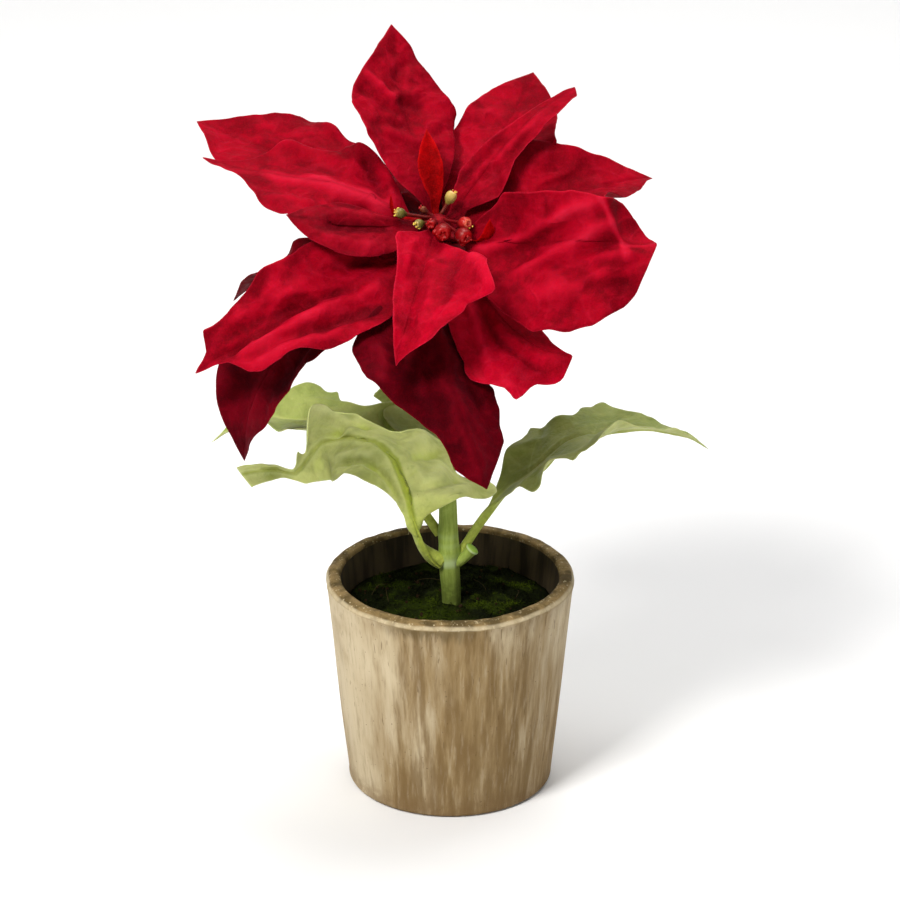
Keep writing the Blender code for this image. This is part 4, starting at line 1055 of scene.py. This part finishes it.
def make_stem():
    piece = Gather()
    fine = fine_path(STEM, 0.8)
    sides = 36
    q = np.arange(sides) * 2 * math.pi / sides
    z = fine[:, 2][:, None]
    wobble = 0.10 * np.cos(7 * q[None, :] + 0.02 * z) + 0.07 * noise(np.cos(q) * 1.5, np.sin(q) * 1.5, z / 5.0, 77)
    # a swelling where each leaf stalk leaves, and faint rings where the bracts do
    mark = np.zeros(len(fine))
    for zl, az in ((74.5, 230), (76.5, 18), (80.0, 96), (83.0, 158)):
        toward = np.cos(q - math.radians(az - 0))[None, :]
        near = np.exp(-(((z - zl) / 2.6) ** 2))
        wobble = wobble + 0.45 * near * np.clip(toward, 0, 1) ** 1.5
        mark = np.maximum(mark, np.exp(-(((fine[:, 2] - zl + 1.0) / 1.7) ** 2)) * (0.75 if az == 230 else 0.3))
    for zl in (96.0, 121.0, 140.0, 155.0):
        ringed = np.exp(-(((z - zl) / 0.8) ** 2))
        wobble = wobble + 0.16 * ringed * (1 + 0.0 * q[None, :])
        mark = np.maximum(mark, np.exp(-(((fine[:, 2] - zl) / 1.1) ** 2)) * 0.38)
    pts, quads, tris = rod(fine[:, :3], fine[:, 3], sides, wobble=wobble)
    tone = np.concatenate([np.repeat(mark, sides), [0, 0]])
    piece.add(pts, quads, tris, tone)
    fine = fine_path(STUB, 0.35)
    sides = 22
    q = np.arange(sides) * 2 * math.pi / sides
    level = np.linspace(0, 1, len(fine))[:, None]
    wobble = 0.07 * noise(np.cos(q) * 1.2, np.sin(q) * 1.2, level * 5, 78) + 0.22 * np.exp(-(((level - 0.93) / 0.05) ** 2))
    wobble = wobble - 0.5 * ease(0.965, 1.0, level)
    pts, quads, tris = rod(fine[:, :3], fine[:, 3], sides, wobble=wobble + 0 * q[None, :])
    tone = np.concatenate([np.repeat(2.0 * ease(0.86, 1.0, level[:, 0]), sides), [0, 2]])
    piece.add(pts, quads, tris, tone)
    for (cx, cy, cz), turn_by, (long, wide, thick) in (((0.2, -7.8, 176.4), -62, (5.8, 5.6, 0.9)), ((0.6, -4.4, 178.4), -30, (3.6, 3.2, 1.4)), ((4.4, -8.6, 176.0), -40, (4.0, 3.4, 0.8))):
        pts, quads, tris = ball((0, 0, 0), 1.0, 20, 11)
        a = math.radians(turn_by)
        x, y, z = pts[:, 0] * long, pts[:, 1] * wide, pts[:, 2] * thick + 0.05 * (pts[:, 1] * wide) ** 2
        pts = np.stack([cx + x * math.cos(a) - y * math.sin(a), cy + x * math.sin(a) + y * math.cos(a), cz + z], -1)
        piece.add(pts, quads, tris, 0.0)
    return piece.build("stem", material=stem_material(), slot="stem_green", nodes=("stem",))


make_stem()

# --------------------------------------------------------------------------- moss, soil

MOSS_EDGE, MOSS_CROWN, MOSS_RADIUS = 56.5, 60.0, 31.6
STEM_X, STEM_Y = 0.7, -3.55


def moss_height(x, y):
    """The mat's top at (x, y), without its tufts."""
    away = np.hypot(x - STEM_X, y - STEM_Y)
    share = np.clip(away / MOSS_RADIUS, 0, 1)
    mound = MOSS_EDGE + (MOSS_CROWN - MOSS_EDGE) * (1 - share**1.6)
    return mound + 0.9 * layered(x / 9.0, y / 9.0, 0, 601, 3) + 0.45 * layered(x / 2.6, y / 2.6, 0, 611, 2)


def moss_material():
    n = Nodes("moss_mat")
    p = n.where()
    tone = n.attribute("tone")
    patch = n.noise(p, 0.10, 3, 0.6)
    fine = n.noise(p, 1.4, 4, 0.7)
    dx = n.math("ADD", n.axis(p, "X"), 4.0)
    dy = n.math("ADD", n.axis(p, "Y"), 13.0)
    near = n.math("SQRT", n.math("ADD", n.math("MULTIPLY", dx, dx), n.math("MULTIPLY", n.math("MULTIPLY", dy, dy), 1.6)))
    lush = n.math("MAXIMUM", n.ramp(patch, 0.47, 0.62), n.ramp(n.math("ADD", near, n.math("MULTIPLY", fine, 9.0)), 9.0, 16.0, 1.0, 0.0))
    colour = n.mix(n.ramp(fine, 0.35, 0.7), linear(9, 11, 5), linear(28, 34, 11))
    colour = n.mix(n.math("MULTIPLY", lush, n.ramp(tone, 0.0, 1.0, 0.12, 0.9)), colour, linear(62, 78, 14))
    colour = n.mix(n.math("MULTIPLY", n.ramp(tone, 0.55, 1.0), n.math("MULTIPLY", lush, n.ramp(fine, 0.4, 0.8, 0.3, 1.0))), colour, linear(108, 124, 30))
    colour = n.mix(n.ramp(tone, 1.5, 2.0), colour, linear(66, 58, 38))
    colour = n.mix(n.ramp(tone, 2.5, 3.0), colour, linear(44, 32, 20))
    return n.set(
        Base_Color=colour,
        Roughness=n.ramp(fine, 0.3, 0.7, 0.85, 0.98),
        Normal=n.bump(fine, 0.8, 0.5),
        Specular_IOR_Level=0.03,
    )


def make_moss():
    rng = np.random.RandomState(42)
    piece = Gather()
    # the mat itself: a ring round the stem with a lumpy top
    rings, sides = 34, 150
    a = np.arange(sides) * 2 * math.pi / sides
    share = np.linspace(0, 1, rings)
    inner = 3.0
    outer = 31.9
    xi, yi = STEM_X + inner * np.cos(a), STEM_Y + inner * np.sin(a)
    xo, yo = outer * np.cos(a), outer * np.sin(a)
    x = xi + (xo - xi) * share[:, None]
    y = yi + (yo - yi) * share[:, None]
    z = moss_height(x, y)
    top = np.stack([x, y, z], -1)
    low = np.stack([x[[-1, 0]], y[[-1, 0]], np.full((2, sides), 52.5)], -1)
    low[0, :, :2] *= 0.985
    rows = np.concatenate([top, low]).reshape(-1, 3)
    quads = grid_quads(rings + 2, sides, closed=True)
    last = (rings + 1) * sides + np.arange(sides)
    nxt = (rings + 1) * sides + (np.arange(sides) + 1) % sides
    first = np.arange(sides)
    fn = (np.arange(sides) + 1) % sides
    quads = np.concatenate([quads, np.stack([last, nxt, fn, first], -1)])
    tone = np.concatenate([(0.25 + 0.25 * layered(x / 2, y / 2, 0, 5)).ravel(), np.zeros(2 * sides)])
    piece.add(rows, quads, np.zeros((0, 3), int), tone)
    # fronds: little curved spikes in tufts
    count = 0
    centres = []
    while len(centres) < 420:
        r, q = 31.2 * math.sqrt(rng.rand()), rng.uniform(0, 2 * math.pi)
        cx, cy = r * math.cos(q), r * math.sin(q)
        if math.hypot(cx - STEM_X, cy - STEM_Y) < 3.4:
            continue
        centres.append((cx, cy))
    k3 = np.arange(3) * 2 * math.pi / 3
    for cx, cy in centres:
        green = float(noise(cx / 11.0, cy / 11.0, 0, 21)) * 0.5 + 0.5
        lean = rng.uniform(0, 2 * math.pi)
        for _ in range(rng.randint(7, 13)):
            fx, fy = cx + rng.normal(0, 1.1), cy + rng.normal(0, 1.1)
            if math.hypot(fx, fy) > 31.3 or math.hypot(fx - STEM_X, fy - STEM_Y) < 3.1:
                continue
            fz = float(moss_height(fx, fy)) - 0.4
            long = rng.uniform(1.0, 2.7)
            q = lean + rng.normal(0, 0.9)
            tilt = rng.uniform(0.35, 1.25)
            out = np.array([math.cos(q), math.sin(q), 0]) * math.sin(tilt)
            rise = np.array([0, 0, math.cos(tilt)])
            base = np.array([fx, fy, fz])
            mid = base + (out * 0.45 + rise * 0.75) * long * 0.55
            end = base + (out * 1.1 + rise * 0.8) * long
            if math.hypot(end[0], end[1]) > 32.2:
                continue
            w = rng.uniform(0.13, 0.24)
            u = np.array([-math.sin(q), math.cos(q), 0.0])
            v = unit(np.cross(end - base, u))
            ringp = [c + w * m * (math.cos(t) * u + math.sin(t) * v) for c, m in ((base, 1.0), (mid, 0.85)) for t in k3]
            pts = np.array([*ringp, end])
            quads = np.array([[0, 1, 4, 3], [1, 2, 5, 4], [2, 0, 3, 5]])
            tris = np.array([[3, 4, 6], [4, 5, 6], [5, 3, 6], [0, 2, 1]])
            tone = np.array([0.1] * 3 + [0.45 + 0.3 * green] * 3 + [0.5 + 0.6 * green])
            piece.add(pts, quads, tris, tone)
            count += 1
    # dry fibres and crumbs of soil among the moss
    for _ in range(9):
        r, q = 28.5 * math.sqrt(rng.rand()), rng.uniform(0, 2 * math.pi)
        cx, cy = r * math.cos(q), r * math.sin(q)
        if math.hypot(cx - STEM_X, cy - STEM_Y) < 4.5:
            continue
        turn, bend, long = rng.uniform(0, 2 * math.pi), rng.normal(0, 0.9), rng.uniform(5, 13)
        s = np.linspace(-0.5, 0.5, 9)
        ang = turn + bend * s
        px = cx + np.cumsum(np.cos(ang)) * long / 9
        py = cy + np.cumsum(np.sin(ang)) * long / 9
        keep = (np.hypot(px, py) < 30.6) & (np.hypot(px - STEM_X, py - STEM_Y) > 3.6)
        if keep.sum() < 5 or not keep.all():
            continue
        pz = moss_height(px, py) + 0.5 + 0.9 * np.sin(math.pi * (s + 0.5)) * rng.uniform(0.4, 1.3)
        pts, quads, tris = rod(np.stack([px, py, pz], -1), rng.uniform(0.07, 0.12), 5)
        piece.add(pts, quads, tris, 2.2)
    for _ in range(70):
        r, q = 30.5 * math.sqrt(rng.rand()), rng.uniform(0, 2 * math.pi)
        cx, cy = r * math.cos(q), r * math.sin(q)
        if math.hypot(cx - STEM_X, cy - STEM_Y) < 3.9:
            continue
        size = rng.uniform(0.25, 0.7)
        pts, quads, tris = ball((cx, cy, float(moss_height(cx, cy)) + 0.3 * size), size, 7, 4)
        pts = pts + 0.12 * size * rng.normal(0, 1, pts.shape)
        piece.add(pts, quads, tris, 3.2)
    print("moss fronds", count)
    return piece.build("moss", material=moss_material(), slot="moss", nodes=("moss",))


make_moss()


def soil_material():
    n = Nodes("soil_crumb")
    p = n.where()
    lumps = n.noise(p, 0.7, 5, 0.75)
    bits = n.cells(p, 0.5)
    colour = n.mix(n.ramp(lumps, 0.35, 0.65), linear(38, 27, 19), linear(72, 54, 38))
    colour = n.mix(n.math("MULTIPLY", n.ramp(bits, 0.0, 0.08, 1.0, 0.0), 0.6), colour, linear(20, 14, 10))
    return n.set(Base_Color=colour, Roughness=n.ramp(lumps, 0.3, 0.7, 0.85, 0.97), Normal=n.bump(lumps, 0.9, 1.0), Specular_IOR_Level=0.2)


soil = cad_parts["soil"]
soil_look = soil_material()
soil.data.materials.clear()
soil.data.materials.append(soil_look)

# --------------------------------------------------------------------------- pot

POT_HEIGHT, RIM_R, BASE_R, WALL, FLOOR = 68.0, 38.0, 31.5, 4.6, 6.0


def pot_material():
    """A cream wash over brown, brushed on thin, with soft upright brush zones, a few dark runs and a rubbed rim;
    painted light and shade make the wall lighter at one side and darker in the middle and towards the foot.
    """
    n = Nodes("pot_wash")
    p = n.where()
    tone = n.attribute("tone")  # height up the wall, mm; 100 and over inside; 80 to 99 on the rim
    zone = n.noise(n.where((1.0, 1.0, 0.22)), 0.075, 3, 0.55, 0.4)
    brush = n.noise(n.where((1.0, 1.0, 0.09)), 0.30, 4, 0.6)
    streak = n.noise(n.where((1.0, 1.0, 0.05)), 1.0, 4, 0.65)
    line = n.noise(n.where((1.0, 1.0, 0.09)), 1.35, 2, 0.5, 0.1)
    cloud = n.noise(p, 0.045, 4, 0.6)
    mottle = n.noise(p, 0.35, 4, 0.6)
    grit = n.noise(p, 2.2, 3, 0.6)
    cream, tan, brown = linear(198, 182, 150), linear(146, 122, 82), linear(108, 83, 46)
    # painted light and shade: the wall is lighter at the -X side and a little at the +X side, darker in the middle, and
    # darker towards the foot, partly painted shade; the uneven zones of the wash are mixed in
    worn = n.math("ADD", n.ramp(n.axis(p, "X"), -31, -10, -0.13, 0.12), n.ramp(n.axis(p, "X"), 22, 35, 0.0, -0.09))
    worn = n.math("ADD", worn, n.ramp(tone, 4, 62, 0.07, -0.02))
    thin = n.math("ADD", zone, worn)
    colour = n.mix(n.ramp(thin, 0.33, 0.74), cream, tan)
    colour = n.mix(n.math("MULTIPLY", n.ramp(n.math("ADD", brush, worn), 0.52, 0.76), 0.70), colour, brown)
    colour = n.mix(n.math("MULTIPLY", n.ramp(brush, 0.26, 0.46, 1.0, 0.0), 0.38), colour, linear(200, 186, 158))
    colour = n.mix(n.math("MULTIPLY", n.ramp(streak, 0.50, 0.74), 0.34), colour, brown)
    colour = n.mix(n.math("MULTIPLY", n.ramp(streak, 0.28, 0.48, 1.0, 0.0), 0.20), colour, linear(206, 194, 168))
    colour = n.mix(n.math("MULTIPLY", n.ramp(cloud, 0.50, 0.72), 0.40), colour, linear(140, 116, 76))
    # dark runs: a few thin ones all over, more of them under the rim
    runs = n.math("ADD", line, n.ramp(tone, 42, 66, 0.0, 0.03))
    colour = n.mix(n.math("MULTIPLY", n.ramp(runs, 0.685, 0.735), 0.55), colour, linear(92, 70, 40))
    side = n.math("MULTIPLY", n.ramp(n.axis(p, "X"), -26, -12), n.ramp(n.axis(p, "X"), -2, 12, 1.0, 0.35))
    drip = n.math("MULTIPLY", n.ramp(n.math("ADD", n.math("MULTIPLY", n.noise(n.where((1.0, 1.0, 0.03)), 0.75, 3, 0.6), 10.0), tone), 66.0, 70.5), side)
    colour = n.mix(n.math("MULTIPLY", drip, 0.7), colour, linear(90, 74, 42))
    colour = n.mix(n.math("MULTIPLY", n.ramp(tone, 1.5, 9.0, 0.55, 0.0), n.ramp(mottle, 0.3, 0.6)), colour, linear(118, 92, 56))
    specks = n.ramp(n.noise(p, 1.0, 2, 0.5), 0.715, 0.745)
    colour = n.mix(n.math("MULTIPLY", specks, 0.55), colour, linear(82, 60, 34))
    # rubbed rim: tan and olive patches, small cream chips, a cream line where the wall ends
    patches = n.noise(p, 0.16, 3, 0.6)
    chips = n.ramp(n.noise(p, 0.95, 3, 0.6), 0.60, 0.68)
    rim = n.mix(n.ramp(patches, 0.38, 0.62), linear(90, 74, 42), linear(146, 122, 80))
    rim = n.mix(n.math("MULTIPLY", n.ramp(grit, 0.50, 0.72), 0.45), rim, linear(84, 68, 40))
    rim = n.mix(n.math("MULTIPLY", chips, 0.8), rim, linear(206, 190, 152))
    outer = n.math("MULTIPLY", n.ramp(tone, 66.0, 66.8), n.ramp(tone, 68.0, 74.0, 1.0, 0.0))
    rim = n.mix(n.math("MULTIPLY", outer, n.ramp(mottle, 0.30, 0.60, 0.45, 0.8)), rim, linear(204, 188, 154))
    colour = n.mix(n.ramp(tone, 65.9, 66.8), colour, rim)
    # inside wall
    wall = n.mix(n.ramp(brush, 0.35, 0.62), linear(46, 38, 26), linear(80, 68, 48))
    colour = n.mix(n.ramp(tone, 99, 101), colour, wall)
    height = n.math("ADD", n.math("MULTIPLY", streak, 0.45), n.math("MULTIPLY", brush, 0.6))
    height = n.math("ADD", height, n.math("MULTIPLY", grit, 0.25))
    height = n.math("ADD", height, n.math("MULTIPLY", chips, 0.2))
    return n.set(
        Base_Color=colour,
        Roughness=n.ramp(brush, 0.35, 0.65, 0.66, 0.84),
        Normal=n.bump(height, 0.5, 0.4),
        Specular_IOR_Level=0.25,
    )


def make_pot():
    taper = (RIM_R - BASE_R) / POT_HEIGHT
    inner_rim = RIM_R - WALL
    inner_foot = inner_rim - taper * (POT_HEIGHT - FLOOR)
    profile = []  # (radius, height, tone)

    def run(r0, z0, r1, z1, steps, tone0, tone1, include_last=False):
        for k in range(steps + (1 if include_last else 0)):
            s = k / steps
            profile.append((r0 + (r1 - r0) * s, z0 + (z1 - z0) * s, tone0 + (tone1 - tone0) * s))

    run(2.0, 0.0, BASE_R - 1.2, 0.0, 8, 0, 0)
    for s in np.linspace(0, 1, 6):
        q = s * math.pi / 2
        profile.append((BASE_R - 1.2 + 1.2 * math.sin(q), 1.2 - 1.2 * math.cos(q), 1.2 * (1 - math.cos(q))))
    run(BASE_R + 0.1, 2.0, BASE_R + taper * 64.6, 64.6, 52, 2.0, 64.6)
    # a small proud band, then a rubbed, rounded lip
    profile += [(37.85, 65.1, 65.1), (38.0, 65.6, 65.7), (37.98, 66.0, 66.2), (37.75, 66.6, 67), (37.35, 67.15, 70), (36.85, 67.6, 75), (36.3, 67.88, 80)]
    run(35.8, 68.0, 34.3, 68.0, 5, 84, 90)
    profile += [(34.0, 67.95, 92), (33.72, 67.75, 94), (33.5, 67.4, 96), (33.4, 66.9, 98)]
    run(33.35, 66.4, inner_foot + 1.5 + 0.0, FLOOR + 1.5, 30, 101, 110)
    profile += [(inner_foot, FLOOR, 110), (inner_foot - 8, FLOOR, 110), (2.0, FLOOR, 110)]
    prof = np.array(profile)
    sides = 168
    a = np.arange(sides) * 2 * math.pi / sides
    R, Z = prof[:, 0][:, None] + 0 * a, prof[:, 1][:, None] + 0 * a
    ca, sa = np.cos(a)[None, :], np.sin(a)[None, :]
    outside = (prof[:, 2] > 1.5) & (prof[:, 2] < 99)
    soft = np.where(outside, 1.0, 0.0)[:, None]
    # hand-made: faintly out of round, ribbed by the brush, chipped at the lip
    R = R + soft * 0.14 * noise(ca * 2.0, sa * 2.0, Z / 26.0, 701)
    R = R + soft * 0.07 * noise(ca * 17.0, sa * 17.0, Z / 30.0, 703)
    lip = np.exp(-(((prof[:, 2] - 72) / 8.0) ** 2))[:, None]
    chip = np.clip(noise(ca * 9.0, sa * 9.0, Z / 3.0, 705) - 0.35, 0, 1)
    R = R - lip * 0.6 * chip
    rim_zone = ((prof[:, 2] > 66) & (prof[:, 2] < 99)).astype(float)[:, None]
    Z = Z + rim_zone * (0.22 * noise(ca * 3.0, sa * 3.0, 0, 707) + 0.12 * noise(ca * 14.0, sa * 14.0, 0, 709) - 0.1)
    Z = Z - rim_zone * 0.35 * chip
    pts = np.stack([R * ca, R * sa, Z], -1).reshape(-1, 3)
    n = len(prof)
    points = np.concatenate([pts, [[0, 0, 0.0]], [[0, 0, FLOOR]]])
    quads = grid_quads(n, sides, closed=True)
    k = np.arange(sides)
    kn = (k + 1) % sides
    low = np.stack([np.full(sides, n * sides), kn, k], -1)
    high = np.stack([np.full(sides, n * sides + 1), (n - 1) * sides + k, (n - 1) * sides + kn], -1)
    tone = np.concatenate([np.repeat(prof[:, 2], sides), [0, 110]])
    return mesh_object("pot", points, quads, np.concatenate([low, high]), {"tone": tone}, pot_material(), "pot_glaze", ("pot",), sharp=50)


make_pot()

# --------------------------------------------------------------------------- stage, light, camera


def make_stage():
    n = Nodes("floor_paper")
    p = n.where()
    grain = n.noise(p, 0.8, 2, 0.5)
    n.set(Base_Color=(0.86, 0.86, 0.86), Roughness=0.9, Specular_IOR_Level=0.1, Normal=n.bump(grain, 0.02, 0.05))
    mesh = bpy.data.meshes.new("floor")
    s, rise, back = 3.0, 2.6, 1.7
    rows = [(-s, 0.0)]
    rows += [(back - 0.6 + 0.6 * math.sin(q), 0.6 - 0.6 * math.cos(q)) for q in np.linspace(0, math.pi / 2, 14)]
    rows += [(back, rise)]
    verts, faces = [], []
    for y, z in rows:
        verts += [(-s, y, z - 0.0002), (s, y, z - 0.0002)]
    for k in range(len(rows) - 1):
        faces.append((2 * k, 2 * k + 1, 2 * k + 3, 2 * k + 2))
    mesh.from_pydata(verts, [], faces)
    mesh.shade_smooth()
    mesh.materials.append(n.mat)
    floor = bpy.data.objects.new("floor", mesh)
    bpy.context.scene.collection.objects.link(floor)


def area(name, where, aim, size, watts, colour=(1, 1, 1)):
    light = bpy.data.lights.new(name, "AREA")
    light.shape = "SQUARE"
    light.size = size
    light.energy = watts
    light.color = colour
    obj = bpy.data.objects.new(name, light)
    bpy.context.scene.collection.objects.link(obj)
    obj.location = where
    obj.rotation_mode = "QUATERNION"
    obj.rotation_quaternion = (Vector(aim) - Vector(where)).to_track_quat("-Z", "Y")


make_stage()
CENTRE = (0.0, 0.0, 0.118)
area("key", (-0.62, -0.80, 1.30), CENTRE, 0.42, 24.0, (1.0, 0.985, 0.96))
area("top", (0.15, 0.35, 1.55), CENTRE, 0.9, 17.0, (1.0, 1.0, 1.0))
area("front", (0.75, -1.35, 0.60), CENTRE, 0.8, 2.5, (1.0, 1.0, 1.0))
world = bpy.data.worlds.new("studio") if bpy.context.scene.world is None else bpy.context.scene.world
bpy.context.scene.world = world
world.use_nodes = True
world.node_tree.nodes["Background"].inputs[0].default_value = (1, 1, 1, 1)
world.node_tree.nodes["Background"].inputs[1].default_value = 0.24

camera = bpy.data.objects.new("camera", bpy.data.cameras.new("camera"))
bpy.context.scene.collection.objects.link(camera)
camera.data.sensor_width = 36.0
camera.data.lens = 152.0
camera.location = (0.0, -1.05313, 0.55908)
camera.rotation_mode = "QUATERNION"
aim = Vector((0.0, 0.0, 0.1085))
camera.rotation_quaternion = (aim - camera.location).to_track_quat("-Z", "Y")
camera.data.clip_start, camera.data.clip_end = 0.05, 20
bpy.context.scene.camera = camera
bpy.context.scene.view_settings.view_transform = "Standard"
bpy.context.scene.view_settings.look = "None"
